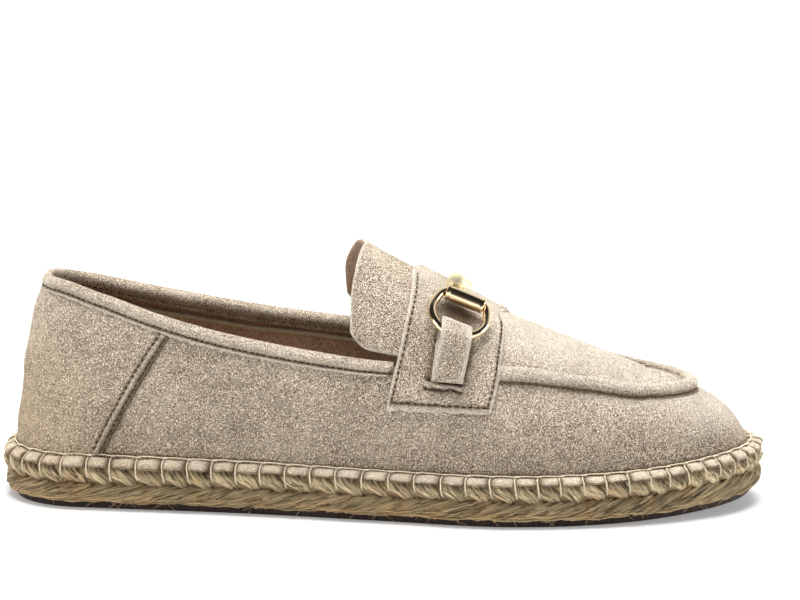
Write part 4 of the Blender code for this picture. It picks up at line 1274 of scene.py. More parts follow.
# %% The strap as a sheet
def make_strap():
    """Sheet with channels on all sides, two slits, and a thin lip beyond the end rows."""
    length = edge_steps(STRAP_LONG, 0.6 * MM, [STRAP_END_ROW, STRAP_LONG - STRAP_END_ROW] + SLITS
                        + [SLIT_ROW], 0.55 * MM)[None]
    width = edge_steps(STRAP_WIDE, 0.7 * MM, [STRAP_ROW, STRAP_WIDE - STRAP_ROW], 0.7 * MM)[::-1, None]
    to_end = np.minimum(length, STRAP_LONG - length)
    to_edge = np.minimum(width, STRAP_WIDE - width)
    ripple = 0.55 * MM * np.sin(width / (0.9 * MM)) * np.sin(width / (5.1 * MM) + 1)
    stretch = held(1 - to_end / (2 * MM)) * ripple
    outward = np.where(length < STRAP_LONG / 2, -1, 1)
    turn, climb = along_strap(length + outward * stretch, width / STRAP_WIDE)
    base = 0.7 * GAP
    sewn = (to_end > STRAP_END_ROW - 0.3 * MM) * (1 - near_crest(length, CREST_BARE, 4))
    pull, dark = stitch_channel(to_edge - STRAP_ROW, length + 0 * width)
    out, shade = GAP + STRAP_THICK + pull * sewn, dark * sewn
    pull, dark = stitch_channel(to_end - STRAP_END_ROW, width + 0 * length, 0.6 * MM, 0.5 * MM)
    within = to_edge > STRAP_ROW - 0.3 * MM
    crease = bell(to_end - STRAP_END_ROW - 0.4 * ripple, 0.5 * MM) * within
    out, shade = out + pull * within, np.maximum(shade, crease * (0.75 + 0.25 * dark))
    lip = held((np.minimum(to_end, to_edge + 0.3 * MM) - 1.0 * MM) / (0.9 * MM))
    out = out - 0.65 * MM * (1 - lip * lip * (3 - 2 * lip))
    toward_front = held(width / STRAP_WIDE * 3 - 2) ** 0.7
    out = out - CREST_DEEP * near_crest(length, CREST_THIN, 2) * toward_front
    rise, slit_shade, lip_highlight = slit_relief(length, width)
    edge = rounded_edge(to_edge, 1.1 * MM) * rounded_edge(to_end, 0.6 * MM)
    # rim sets the painted highlight along the cut edges and over the slit's lip
    rim = np.minimum(np.minimum(to_edge, to_end * 0.55), (1 - lip_highlight) * 2 * MM)
    make_sheet("strap_suede", skin(turn, climb, base + (out + rise - base) * edge),
               skin(turn, climb, base), np.maximum(shade, slit_shade), rim, "strap")


make_strap()


# %% The strap's stitches
def strap_rows():
    """Rows along both edges, one across each end, and one below the outer slit."""
    top = GAP + STRAP_THICK - 0.28 * MM
    long_run = np.linspace(STRAP_END_ROW, STRAP_LONG - STRAP_END_ROW, 300)
    buried = 0.6 * MM * near_crest(long_run, CREST_BARE, 4)
    runs = []
    for width in (STRAP_ROW, STRAP_WIDE - STRAP_ROW):
        places = along_strap(long_run, np.full(300, width / STRAP_WIDE))
        thin = CREST_DEEP if width > STRAP_WIDE / 2 else 0.0
        runs.append(stitches_along(*row_on_last(*places, top - buried - thin * (buried > 0.01 * MM))))
    across_end = STRAP_WIDE / 2 - STRAP_ROW
    for distance, reach in ((STRAP_END_ROW, across_end), (STRAP_LONG - STRAP_END_ROW, across_end),
                            (SLIT_ROW, KEEPER_WIDE / 2 + 1.4 * MM)):
        width = np.linspace(STRAP_WIDE / 2 - reach, STRAP_WIDE / 2 + reach, 60) / STRAP_WIDE
        runs.append(stitches_along(*row_on_last(*along_strap(np.full(60, distance), width), top)))
    return runs


make_thread("strap_stitches", strap_rows(), "suede")

# %% [markdown]
# ## The bit
# The bit is a ring on each side, hung in a suede keeper, a turned barrel across the top
# of each ring, and two curved arms joined by a ball over the crest. Torus and cylinder
# primitives would come close. The ring's wire bends into its barrel, though, so wire,
# barrel, arm and ball are all round sections carried along a path.
# First comes the place of each ring: a plate that rests on the strap at four points.

# %% Sizes of the bit
RING_RADIUS, RING_WIRE = 9.4 * MM, 1.45 * MM
BARREL_LONG, BARREL_RADIUS = 13.4 * MM, 2.7 * MM
BARREL_UP = 7.2 * MM  # barrel's axis from the ring's centre
RING_ALONG = 0.625  # where the rings lie on the strap
RING_REACH, RING_REACH_UP = 0.036, 0.13  # from a ring's middle to where it bears on the strap
RING_STANDOFF = 6.0 * MM  # from the last to the ring's middle
RING_LEAN = np.radians(4)  # how far a ring's front is turned up
KEEPER_SIDE, KEEPER_DRIFT = -0.2 * MM, 0.6 * MM  # fold ahead of the ring's middle, and of the slit
KEEPER_FOLD = 0.083  # climb from its fold to the ring's middle
KEEPER_HEAD, KEEPER_KNEE = -6.4 * MM, 1.5 * MM  # its fold from the ring's middle, its bend past the wire
ARM_THICK, ARM_THIN = 3.5 * MM, 1.3 * MM  # radii of an arm: its knob at the ring, its bar
KNOB_LONG = 9 * MM  # from its middle to the plain bar
ARM_CLEAR = 0.5 * MM  # between an arm and the strap
ARM_LIFT = {OUTER: 0.6 * MM, INNER: 0.1 * MM}  # how much more than that at the ring
ARM_BACK = {OUTER: 0.8 * MM, INNER: 3.5 * MM}  # from the barrel's middle back to the arm's
ARM_SWEEP = {OUTER: 1.0, INNER: 2.2}  # how soon an arm draws level with the ball
LINK_RADIUS, LINK_ALONG = 1.5 * MM, 0.640


# %% The place of a ring
class RingPlate:
    """The plate a ring lies in: it bears on the strap, and has a forward, an up and an out."""

    def __init__(self, side):
        turn = turn_of(RING_ALONG + RING_REACH * np.array([-1, 1, 0, 0]), side)
        climb = RING_CLIMB[side] + RING_REACH_UP * np.array([0, 0, -1, 1])
        rear, ahead, low, high = on_last(turn, climb)
        level = unit(ahead - rear)
        rise = unit((high - low) - level * np.dot(high - low, level))
        self.side = side
        self.forward = level * np.cos(RING_LEAN) + rise * np.sin(RING_LEAN)
        self.up = rise * np.cos(RING_LEAN) - level * np.sin(RING_LEAN)
        self.out = np.cross(self.forward, self.up) * -side
        self.centre = (rear + ahead + low + high) / 4 + self.out * RING_STANDOFF

    def at(self, forward, up, out=0.0):
        """A place on the plate, in its own directions."""
        forward, up, out = np.broadcast_arrays(forward, up, out)
        return (self.centre + forward[..., None] * self.forward + up[..., None] * self.up
                + out[..., None] * self.out)


def turned(name, path, radii, outward, sides, metal, stands_for):
    """One round metal form along a path, its ends drawn in to flat caps."""
    points = tube_points(path[None], radii[None], np.broadcast_to(outward, path.shape)[None], sides)
    make_piece(name, points, tube_faces(1, len(path), sides), [metal], "gold", (stands_for,))


# %% Rings and barrels
def make_ring(plate, word):
    """The ring's wire: an arc, then a bend at each end that brings it onto the barrel's axis."""
    bend_from = np.radians(8)
    arc = np.linspace(np.pi - bend_from, 2 * np.pi + bend_from, 81)
    last = RING_RADIUS * np.array([np.cos(bend_from), np.sin(bend_from)])
    end = np.array([BARREL_LONG / 2 - 0.4 * MM, BARREL_UP])
    corner = np.array([last[0] - (BARREL_UP - last[1]) * np.tan(bend_from), BARREL_UP])
    t = np.linspace(0, 1, 17)[1:, None]
    bend = last * (1 - t) ** 2 + corner * 2 * t * (1 - t) + end * t ** 2
    mirror = np.array([-1, 1])
    plan = np.concatenate([bend[::-1] * mirror, RING_RADIUS * np.stack([np.cos(arc), np.sin(arc)], 1), bend])
    path = plate.at(plan[:, 0], plan[:, 1])
    turned(f"ring_{word}", path, np.full(len(path), RING_WIRE), plate.out, 20, pale_gold,
           f"bit_ring_{word}")


def make_barrel(plate, word):
    """Turned barrel: a collar at each end, a soft groove inside it, and hollow-looking ends."""
    profile = np.array([  # distance from the end, radius, mm
        (0.75, 1.35), (0.70, 1.9), (0.10, 2.05), (0.0, 2.2), (0.0, 2.45), (0.12, 2.62), (0.40, 2.70),
        (0.95, 2.70), (1.15, 2.56), (1.45, 2.50), (1.9, 2.56), (2.6, 2.62), (4.5, 2.66), (6.7, 2.68)])
    near = np.stack([-BARREL_LONG / 2 + profile[:, 0] * MM, profile[:, 1] * MM], 1)
    both = np.concatenate([near, (near * (-1, 1))[::-1][1:]])
    path = plate.at(both[:, 0], BARREL_UP)
    spin = np.arange(40) * 2 * np.pi / 40
    ring = np.cos(spin)[:, None] * plate.out + np.sin(spin)[:, None] * np.cross(plate.forward, plate.out)
    points = path[:, None] + both[:, 1][:, None, None] * ring
    make_piece(f"barrel_{word}", points, tube_faces(1, len(both), 40), [pale_gold], "gold",
               (f"bit_barrel_{word}",), sharp=50)


# %% Arms and the ball
def link_centre():
    """Middle of the ball, on the strap's crest."""
    return on_last(turn_of(LINK_ALONG, OUTER), 1.0, GAP + STRAP_THICK + ARM_CLEAR + LINK_RADIUS)


def make_arm(plate, word):
    """Arm of the mouthpiece, curved over the strap: thick at the barrel, thin at the ball."""
    barrel, link, side = plate.at(0.0, BARREL_UP), link_centre(), plate.side

    def over_strap(share, radius):
        """The arm's middle line at a share of the way from the ring to the ball."""
        climb = RING_CLIMB[side] * (1 - share) + share
        aside = (1 - share) ** ARM_SWEEP[side]
        x = (barrel[0] - ARM_BACK[side]) * aside + link[0] * (1 - aside)
        clear = GAP + STRAP_THICK + ARM_CLEAR + ARM_LIFT[side] * (1 - share) + radius
        lean = on_last(turn_at(x, climb, side), climb, clear)[..., 0] - x
        return on_last(turn_at(x - lean, climb, side), climb, clear)

    share = np.linspace(0, 1, 241)
    thick_line, thin_line = over_strap(share, ARM_THICK), over_strap(share, ARM_THIN)
    from_barrel = thick_line - barrel
    from_barrel -= (from_barrel @ plate.forward)[:, None] * plate.forward
    past_barrel = np.linalg.norm(from_barrel, axis=1) > BARREL_RADIUS + 1.5 * GAP + ARM_THICK
    before_link = np.linalg.norm(thin_line - link, axis=1) > LINK_RADIUS * 0.7
    knob, end = share[past_barrel & (share > 0.2)][0], share[before_link][-1]
    run = np.linalg.norm(np.diff(thick_line, axis=0), axis=1).sum()
    nose = np.linspace(0.02, np.pi / 2, 14)
    share = np.concatenate([knob - ARM_THICK * np.cos(nose) / run, np.linspace(knob, end, 40)[1:]])
    taper = held((share - knob) * run / KNOB_LONG)
    radii = ARM_THIN + (ARM_THICK - ARM_THIN) * (1 - taper ** 1.5) ** 1.5
    path = over_strap(share, radii)
    radii[:14] *= np.sin(nose)
    turned(f"arm_{word}", path, radii, plate.forward, 28, satin_gold, f"bit_arm_{word}")


def make_link():
    """Ball that joins the two arms over the crest."""
    angle = np.linspace(0.02, np.pi - 0.02, 20)
    path = link_centre() + np.stack([-np.cos(angle) * LINK_RADIUS, 0 * angle, 0 * angle], 1)
    turned("ball", path, np.sin(angle) * LINK_RADIUS, (0.0, 0.0, 1.0), 28, satin_gold, "bit_link")


# %% Keepers
def keeper_back(plate):
    """The tab's back part: up the strap from the slit to the fold, and the way out at each place."""
    share = np.linspace(0, 1, 28)
    climb = KEEPER_SLIT[plate.side] * (1 - share) + (RING_CLIMB[plate.side] - KEEPER_FOLD) * share
    fold_x = plate.at(KEEPER_SIDE, KEEPER_HEAD, -RING_WIRE - KEEPER_THICK)[0]
    turn = turn_at(fold_x - KEEPER_DRIFT * (1 - share), climb, plate.side)
    on_strap = GAP + STRAP_THICK + 3 * GAP + KEEPER_THICK / 2
    back = on_last(turn, climb, on_strap)
    return back, unit(on_last(turn, climb, on_strap + MM) - back)


def keeper_front(plate, head_forward, foot):
    """Its front part: straight down over the wire to a knee, then a curve to the slit."""
    over_wire = RING_WIRE + GAP + KEEPER_THICK / 2
    head = plate.at(head_forward, KEEPER_HEAD, over_wire)
    knee_up = -RING_RADIUS - KEEPER_KNEE
    share_down = (knee_up - KEEPER_HEAD) / np.dot(foot - head, plate.up)
    knee_forward = head_forward + np.dot(foot - head, plate.forward) * share_down
    knee = plate.at(knee_forward, knee_up, over_wire)
    t = np.linspace(0, 1, 24)[:, None]
    below = knee + (knee - head) * 0.4
    drop = knee * (1 - t) ** 2 + below * 2 * t * (1 - t) + foot * t ** 2
    return np.concatenate([head + (knee - head) * np.linspace(0, 1, 9)[:-1, None], drop])


def keeper_fold(plate, back, front):
    """Its fold through the ring: half an ellipse from the one part's end to the other's start."""
    bend = np.linspace(0, np.pi, 15)[1:-1, None]
    middle, across = (back[-1] + front[0]) / 2, (front[0] - back[-1]) / 2
    return middle - across * np.cos(bend) + plate.up * np.linalg.norm(across) / 2 * np.sin(bend)


def make_keeper(plate, word):
    """Suede tab: up the strap, folded through the ring, and down again over its wire.

    Its section is a rounded rectangle carried along that path.
    """
    back, square = keeper_back(plate)
    front = keeper_front(plate, np.dot(back[-1] - plate.centre, plate.forward),
                         back[0] + square[0] * (KEEPER_THICK + GAP))
    fold = keeper_fold(plate, back, front)
    path = np.concatenate([back, fold, front])
    ahead = unit(np.gradient(path, axis=0))
    on_back = plate.forward - square * (square @ plate.forward)[:, None]
    along_path = ahead[:len(back)] * (on_back * ahead[:len(back)]).sum(1)[:, None]
    on_back -= np.linspace(1, 0, len(back))[:, None] * along_path
    turning = np.linspace(0, 1, len(fold))[:, None]
    falling = np.linspace(0, 1, len(front))[:, None]
    wide = unit(np.concatenate([on_back, on_back[-1] * (1 - turning) + plate.forward * turning,
                                plate.forward * (1 - falling) + on_back[0] * falling]))
    thick = unit(np.cross(wide, ahead))
    spin = np.arange(28) * 2 * np.pi / 28
    flat, deep = np.cos(spin), -np.sin(spin)
    flat, deep = np.sign(flat) * np.abs(flat) ** 0.22, np.sign(deep) * np.abs(deep) ** 0.5
    points = (path[:, None] + KEEPER_WIDE / 2 * flat[:, None] * wide[:, None]
              + KEEPER_THICK / 2 * deep[:, None] * thick[:, None])
    # painted highlight on the keeper's edges and round its fold, painted shade over the rest of its face
    rim = np.tile(0.5 * held((np.abs(flat) - 0.70) / 0.13), (len(path), 1))
    rim[len(back):len(back) + len(fold) + 1] = 0.5
    make_piece(f"keeper_{word}_suede", points, tube_faces(1, len(path), 28), [sand_suede],
               "suede_light", (f"keeper_{word}",), {"painted_highlight": rim, "shaded": 0.16 * (rim == 0)})


make_link()
for side, word in ((OUTER, "outer"), (INNER, "inner")):
    ring_plate = RingPlate(side)
    make_ring(ring_plate, word)
    make_barrel(ring_plate, word)
    make_arm(ring_plate, word)
    make_keeper(ring_plate, word)

# %% [markdown]
# ## The rope sole
# Jute is braided, and the braid is wound and stitched into a sole. Its wall shows two
# courses: above, fat lobes that slant down to the front, one between each pair of
# stitches; below, thinner strands that slant up to the front. A bump map would flatten
# all this, so every yarn is a tube of its own, and each one has its own tone.
# A place on the wall has a run round the outline, an inset from it, and a height.

# %% The stitches round the sole
STITCHES_ROUND = 75
TOE_CLOSER, TOE_CLOSER_FROM = 0.20, 150 * MM  # how much closer round the toe, and from where
BY_HAND = 0.07  # how uneven their distances are
rng = np.random.default_rng(7)


def stitch_runs():
    """Run of each blanket stitch: even along the sides and closer round the toe."""
    even = np.arange(STITCHES_ROUND) * LENGTH_ROUND / STITCHES_ROUND
    x = inset_outline(turn_at_run(even), 0.0)[:, 0]
    apart = 1 - TOE_CLOSER * held((x - TOE_CLOSER_FROM) / (70 * MM))
    apart = apart * (1 + rng.uniform(-BY_HAND, BY_HAND, STITCHES_ROUND))
    return np.concatenate([[0], np.cumsum(apart)]) * LENGTH_ROUND / apart.sum()


STITCH_RUNS = stitch_runs()
print("blanket stitches:", STITCHES_ROUND, "mm apart:", np.diff(STITCH_RUNS[::15]).round(4) / 15 / MM)


def run_at_stitch(number):
    """Run at a number of stitches, whole or not, and more than once round if need be."""
    rounds, part = np.divmod(number, STITCHES_ROUND)
    return rounds * LENGTH_ROUND + np.interp(part, np.arange(STITCHES_ROUND + 1), STITCH_RUNS)


# %% Places on the sole's wall
def wall_place(run, inset, height):
    """A place on the sole's wall, raised by the toe spring."""
    run, inset, height = np.broadcast_arrays(run, inset, height)
    plan = inset_outline(turn_at_run(run), inset)
    return np.concatenate([plan, (height + lift(plan[..., 0]))[..., None]], -1)


def wall_outward(run):
    """The level direction straight out of the wall."""
    turn = turn_at_run(run)
    out = inset_outline(turn, 0.0) - inset_outline(turn, MM)
    return np.concatenate([out, 0 * out[..., :1]], -1) / MM


def uneven(count, amount):
    """Seeded unevenness, one number to each of a count."""
    return rng.uniform(-amount, amount, count)


# %% Yarns as tubes
YARN_LONG, YARN_GIRTH = 12 * MM, 6 * MM  # a yarn's share of its own map
YARN_SHIFT = 13.7 * MM, 7.1 * MM  # from yarn to yarn, along and round


def yarn_uv(piece, sections, sides, girth=YARN_GIRTH):
    """The piece's own map: along each yarn and round it, shifted from yarn to yarn."""
    mesh = piece.data
    corner = np.empty(len(mesh.loops), np.int32)
    mesh.loops.foreach_get("vertex_index", corner)
    section, side = corner // sides % sections, corner % sides
    yarn = corner // (sections * sides)
    uv = np.stack([section / sections * YARN_LONG + yarn * YARN_SHIFT[0],
                   side / sides * girth + yarn * YARN_SHIFT[1]], -1)
    mesh.uv_layers.new(name="along_yarn").data.foreach_set("uv", uv.astype(np.float32).ravel())


def make_yarns(name, run, inset, height, radii, tone, shade, sides=7):
    """Many yarns on the wall in one mesh, each with one tone and shaded where it dives in.

    The inset, the height and the radii are in millimetres.
    """
    count, sections = run.shape
    paths = wall_place(run, inset * MM, height * MM)
    points = tube_points(paths, np.broadcast_to(radii * MM, run.shape), wall_outward(run), sides)
    piece = make_piece(name, points, tube_faces(count, sections, sides), [straw_jute], "jute", (),
                       {"yarn_tone": tone[:, None, None], "shaded": shade[..., None]})
    yarn_uv(piece, sections, sides)


# %% The upper course
LOBE_YARNS, LOBE_FIBRES = 6, 22  # to one lobe
YARN_APART = 1.42  # mm
LOBE_OWN = rng.uniform(-1, 1, (4, STITCHES_ROUND))  # each lobe's own top, foot, lean and place


def on_lobe(lobe, across, t):
    """Lines on the lobes, from high behind (t = 0) to low in front (t = 1).

    Height falls from 14.9 to 9 mm; run leans forward with t; the lines, a distance across
    the lobe apart, draw together by 1 - 0.42 t^1.6; the inset is least in the belly,
    sin(pi t)^0.6, and grows toward the lobe's edges.
    """
    own = LOBE_OWN[:, lobe][..., None]
    count = len(lobe)
    top = 14.9 + 0.25 * own[0] + uneven(count, 0.3)[:, None]
    low = 9.0 + 0.35 * own[1] + uneven(count, 0.3)[:, None]
    height = top + (low - top) * (t + 0.06 * np.sin(2 * np.pi * t))
    lean = (5.2 + 0.9 * own[2]) * (t - 0.5)
    room = np.diff(STITCH_RUNS)[lobe][:, None] / (8 * MM)
    run = (across[:, None] * (1 - 0.42 * t ** 1.6) + lean + 0.3 * own[3]) * room
    run = run * MM + run_at_stitch(lobe + 0.5)[:, None] + MM * uneven(count, 0.2)[:, None] * np.sin(np.pi * t)
    belly = np.sin(np.pi * held(t * 0.95 + 0.05)) ** 0.6
    crown = np.abs(across[:, None] / 3.5) ** 2.5
    return run, 2.6 - 1.9 * belly + 1.5 * crown, height, belly, crown


def make_upper_course():
    """Six yarns to a lobe, drawn together at the lower end."""
    lobe = np.repeat(np.arange(STITCHES_ROUND), LOBE_YARNS)
    yarn = np.tile(np.arange(LOBE_YARNS), STITCHES_ROUND) - (LOBE_YARNS - 1) / 2
    t = np.linspace(0, 1, 13)
    count = len(lobe)
    run, inset, height, belly, crown = on_lobe(lobe, yarn * YARN_APART, t)
    inset = inset + uneven(count, 0.18)[:, None]
    radii = (0.86 + uneven(count, 0.14)[:, None]) * (0.55 + 0.45 * belly)
    tone = 0.27 + uneven(count, 0.14) + 0.08 * LOBE_OWN[1][lobe]
    shade = held(1.0 - belly + 0.35 * crown) * 0.85
    make_yarns("rope_upper_course", run, inset, height, radii, tone, shade)


def fibre_tone(count):
    """Most fibres pale, some dark."""
    pale = rng.uniform(0.30, 0.80, count)
    return np.where(rng.uniform(0, 1, count) < 0.32, -0.5, pale)


def make_upper_fibres():
    """Single fibres that lie on the lobes and cross their yarns a little."""
    lobe = np.repeat(np.arange(STITCHES_ROUND), LOBE_FIBRES)
    count = len(lobe)
    start = rng.uniform(0.0, 0.45, count)[:, None]
    t = start + (rng.uniform(0.35, 0.6, count)[:, None]) * np.linspace(0, 1, 9)
    run, inset, height, belly, crown = on_lobe(lobe, rng.uniform(-3.6, 3.6, count), t)
    run = run + MM * uneven(count, 0.9)[:, None] * (t - 0.5)
    inset = inset - (0.55 + 0.45 * belly) * rng.uniform(0.55, 1.05, count)[:, None]
    radii = rng.uniform(0.07, 0.17, count)[:, None]
    shade = held(0.9 - belly + 0.4 * crown) * 0.8
    make_yarns("rope_upper_fibres", run, inset, height, radii, fibre_tone(count), shade, sides=3)


make_upper_course()
make_upper_fibres()


# %% The lower course
STRANDS = 176
STRAND_YARNS, STRAND_FIBRES = 4, 13  # to one strand
STRAND_OWN = rng.uniform(-1, 1, (5, STRANDS))  # each strand's own place, slope, foot, head and depth


def on_strand(strand, aside, t):
    """Lines on the strands, from low behind (t = 0) to high in front (t = 1).

    A strand is straight, 14 mm long and 4.9 mm high, and dives into the sole at both
    ends by 1 - sin(pi t)^0.5; aside shifts a line square to it.
    """
    own = STRAND_OWN[:, strand][..., None]
    long = 14.0 * (1 + 0.16 * own[1])
    run = (strand[:, None] * LENGTH_ROUND / STRANDS / MM + 0.7 * own[0] + long * (t - 0.5)
           - 0.45 * aside[:, None])
    low, high = 3.7 + 0.3 * own[2], 8.6 + 0.3 * own[3]
    height = low + (high - low) * t + 0.9 * aside[:, None]
    belly = np.sin(np.pi * (0.03 + 0.94 * t)) ** 0.5
    return run * MM, 2.9 - 1.6 * belly + 0.3 * own[4], height, belly


def make_lower_course():
    """Strands of four yarns, laid one over the next at a shallow slant."""
    strand = np.repeat(np.arange(STRANDS), STRAND_YARNS)
    count = len(strand)
    aside = np.tile(np.linspace(-0.85, 0.85, STRAND_YARNS), STRANDS) + uneven(count, 0.14)
    run, inset, height, belly = on_strand(strand, aside, np.linspace(0, 1, 13))
    inset = inset + uneven(count, 0.2)[:, None] + 0.55 * aside[:, None] ** 2
    radii = (0.56 + uneven(count, 0.1)[:, None]) * (0.65 + 0.35 * belly)
    tone = 0.22 + uneven(count, 0.16)
    shade = held(1.0 - belly) * 0.8 + 0.04
    make_yarns("rope_lower_course", run, inset, height, radii, tone, shade, sides=6)


def make_lower_fibres():
    """Single fibres on the strands, a few of them lying across."""
    strand = np.repeat(np.arange(STRANDS), STRAND_FIBRES)
    count = len(strand)
    start = rng.uniform(0.0, 0.5, count)[:, None]
    t = start + rng.uniform(0.3, 0.5, count)[:, None] * np.linspace(0, 1, 9)
    run, inset, height, belly = on_strand(strand, rng.uniform(-1.3, 1.3, count), t)
    height = height + uneven(count, 1.6)[:, None] * (t - 0.5)
    inset = inset - rng.uniform(0.3, 0.8, count)[:, None] * (0.5 + 0.5 * belly)
    radii = rng.uniform(0.06, 0.15, count)[:, None]
    shade = held(1.0 - belly) * 0.7 + 0.05
    make_yarns("rope_lower_fibres", run, inset, height, radii, fibre_tone(count), shade, sides=3)


def make_foot_yarns():
    """Three long yarns under the strands, which close the rope's lower edge."""
    runs = np.linspace(0, LENGTH_ROUND / MM, 901)[None, :-1]
    number = np.arange(3)[:, None]
    height = (3.25 + 0.75 * number + 0.22 * np.sin(runs / 4.1 + 2 * number)
              + 0.14 * np.sin(runs / 1.3 + number))
    inset = 2.0 - 0.25 * number + 0.2 * np.sin(runs / 2.9 + 4 * number)
    make_yarns("rope_foot_yarns", runs * MM + 0 * height, inset, height, 0.55,
               np.array([0.1, 0.2, 0.15]), 0.12 + 0 * height)


make_lower_course()
make_lower_fibres()
make_foot_yarns()


# %% The core behind the yarns
CORE_PROFILE = np.array([  # inset, height, mm
    (4.4, 2.9), (3.0, 3.0), (2.3, 3.8), (2.0, 5.6), (2.3, 8.0), (2.9, 9.2), (2.3, 10.2), (2.0, 12.0),
    (2.2, 13.4), (2.8, 14.6), (4.4, 14.9)])


def toward_middle(plan, share):
    """Points of a plan drawn in toward the sole's centre line by a share."""
    x = np.clip(plan[..., 0], HEEL_ROUND, SOLE_LENGTH - TOE_ROUND * 0.6)
    centre = np.stack([x, from_table(SOLE_PLAN, PLAN_DRIFT, x / SOLE_LENGTH) * MM], -1)
    return plan + (centre - plan) * share


def weld(piece):
    """Joins points that lie on each other, as where a loop's two sides meet on the centre line."""
    shell = bmesh.new()
    shell.from_mesh(piece.data)
    bmesh.ops.remove_doubles(shell, verts=shell.verts, dist=0.01 * MM)
    bmesh.ops.dissolve_degenerate(shell, edges=shell.edges, dist=0.001 * MM)
    shell.to_mesh(piece.data)
    shell.free()


# %% A slab of the sole's plan
SLAB_STATIONS = 400
CLOSING_SHARES = 0.25, 0.55, 0.85, 1.0  # loops of a flat face, from its rim inward


def make_slab(name, profile, material, slot, stands_for, sharp=180):
    """A slab carried up a profile of inset and height, closed to the centre line at both faces."""
    runs = np.arange(SLAB_STATIONS) * LENGTH_ROUND / SLAB_STATIONS
    inset, height = profile.T * MM
    loops = [wall_place(runs, i, h) for i, h in zip(inset, height)]

    def closing(loop, level):
        drawn = [np.concatenate([toward_middle(loop[:, :2], share), loop[:, 2:]], 1)
                 for share in CLOSING_SHARES]
        for part in drawn:
            part[:, 2] = level + lift(part[:, 0])
        return drawn

    points = np.stack(closing(loops[0], height[0])[::-1] + loops + closing(loops[-1], height[-1]))
    faces = grid_faces(*points.shape[:2], closed_columns=True)
    piece = make_piece(name, points, faces, [material], slot, (stands_for,),
                       {"yarn_tone": 0.05, "shaded": 0.6}, sharp=sharp)
    weld(piece)


make_slab("rope_core", CORE_PROFILE, straw_jute, "jute", "rope_sole")

# %% [markdown]
# ## The hem
# The upper's hem is turned out over the rope and caught by a blanket stitch, so between
# two stitches it puffs up like a small pillow. Its profile rolls over the rope's top
# edge and ends in a raw edge. The profile is a table; along the run it swells between
# stitches by a superellipse. It was sewn by hand, so each puff leans, sags and fills by
# seeded amounts of its own, and small dents and a frayed edge are sines along the run.

# %% The hem's puffs
HEM_PROFILE = np.array([  # inset, height, how much of the swelling it takes
    (6.0, 16.2, 0.0), (5.4, 17.0, 0.1), (4.6, 17.6, 0.5), (3.5, 17.85, 0.9), (2.3, 17.65, 1.0),
    (1.2, 17.15, 1.0), (0.45, 16.5, 1.0), (0.05, 15.8, 0.9), (0.05, 15.2, 0.7), (0.42, 14.92, 0.5),
    (0.26, 14.7, 0.5), (0.36, 14.35, 0.4), (0.95, 14.2, 0.2), (1.6, 14.6, 0.0), (3.0, 15.2, 0.0),
    (6.0, 15.4, 0.0)])
HEM_CENTRE = 3.4 * MM, 15.9 * MM  # inset and height that a puff swells from
PINCH = 0.56  # how much of its size it loses at a stitch
STATIONS_PER_STITCH = 20
UNDER_THREAD = [0.8, 0.7, 0.15]  # shade of the table's first rows,
FRONT_EDGE = [0.06, 0.14, 0.26]  # of the rows where it turns down,
RAW_EDGE = [0.95, 0.35, 0.9]  # and of the raw edge, between two dark creases
# a paler copy of the suede, painted light for the hem's puffs, which face up into the light
lit_hem_suede = suede("lit_hem_suede", (0.40, 0.315, 0.225), (0.98, 0.84, 0.66))


def make_hem():
    """The rolled hem, pinched at each stitch."""
    stations = STITCHES_ROUND * STATIONS_PER_STITCH
    number = np.arange(stations) / STATIONS_PER_STITCH
    runs = run_at_stitch(number)
    stitch, within = np.divmod(number, 1.0)
    own = rng.uniform(-1, 1, (4, STITCHES_ROUND))[:, stitch.astype(int)]
    within = within + 0.5 * own[2] * within * (1 - within)
    swell = (1 - np.abs(2 * within - 1) ** 4) ** 0.5
    inset, height, take = HEM_PROFILE.T[..., None] * np.array([MM, MM, 1])[:, None, None]
    middle_inset, middle_height = HEM_CENTRE
    dent = 0.07 * np.sin(runs / (0.9 * MM) + 9 * own[3]) * np.sin(height / (0.8 * MM) + 5 * own[2])
    fullness = 1 + take * (PINCH * (swell - 1) + swell * (0.17 * own[0] + 1.6 * dent))
    inset = middle_inset + (inset - middle_inset) * fullness
    height = middle_height + (height - middle_height) * fullness
    droop = held((16.5 * MM - height) / (3 * MM)) * (take > 0)
    fray = 0.16 * np.sin(runs / (0.45 * MM)) + 0.16 * np.sin(runs / (0.83 * MM) + 1)
    sag = 0.6 * own[1] + 0.5 * np.sin(runs / (17 * MM)) + fray
    height = height + droop * swell * MM * sag
    points = wall_place(runs, inset, hem_height(runs, height))
    faces = grid_faces(len(HEM_PROFILE), stations, closed_rows=True, closed_columns=True)[:, ::-1]
    pinched = held(2.2 * held(1 - swell) ** 0.8 + 0.12 * own[1] - 0.04)
    shade = np.broadcast_to(pinched, points.shape[:2]).copy()
    for start, dark in ((0, UNDER_THREAD), (6, FRONT_EDGE), (9, RAW_EDGE)):
        shade[start:start + 3] = np.maximum(shade[start:start + 3], np.array(dark)[:, None])
    # painted shade in the pinches and creases, painted highlight where each puff swells
    marks = {"shaded": shade, "yellowed": 0.25 + 0.3 * mark_of_heel(points),
             "painted_highlight": held(0.18 + 0.2 * own[0]) * take * swell}
    make_piece("hem_puffs", points, faces, [lit_hem_suede], "suede_light", (), marks)


make_hem()

# %% [markdown]
# ## The blanket stitch
# One waxed thread runs along the top of the hem, dips between two puffs, comes down over
# the upper course and goes into the rope. It is drawn as one vertical and one level
# piece to each stitch.

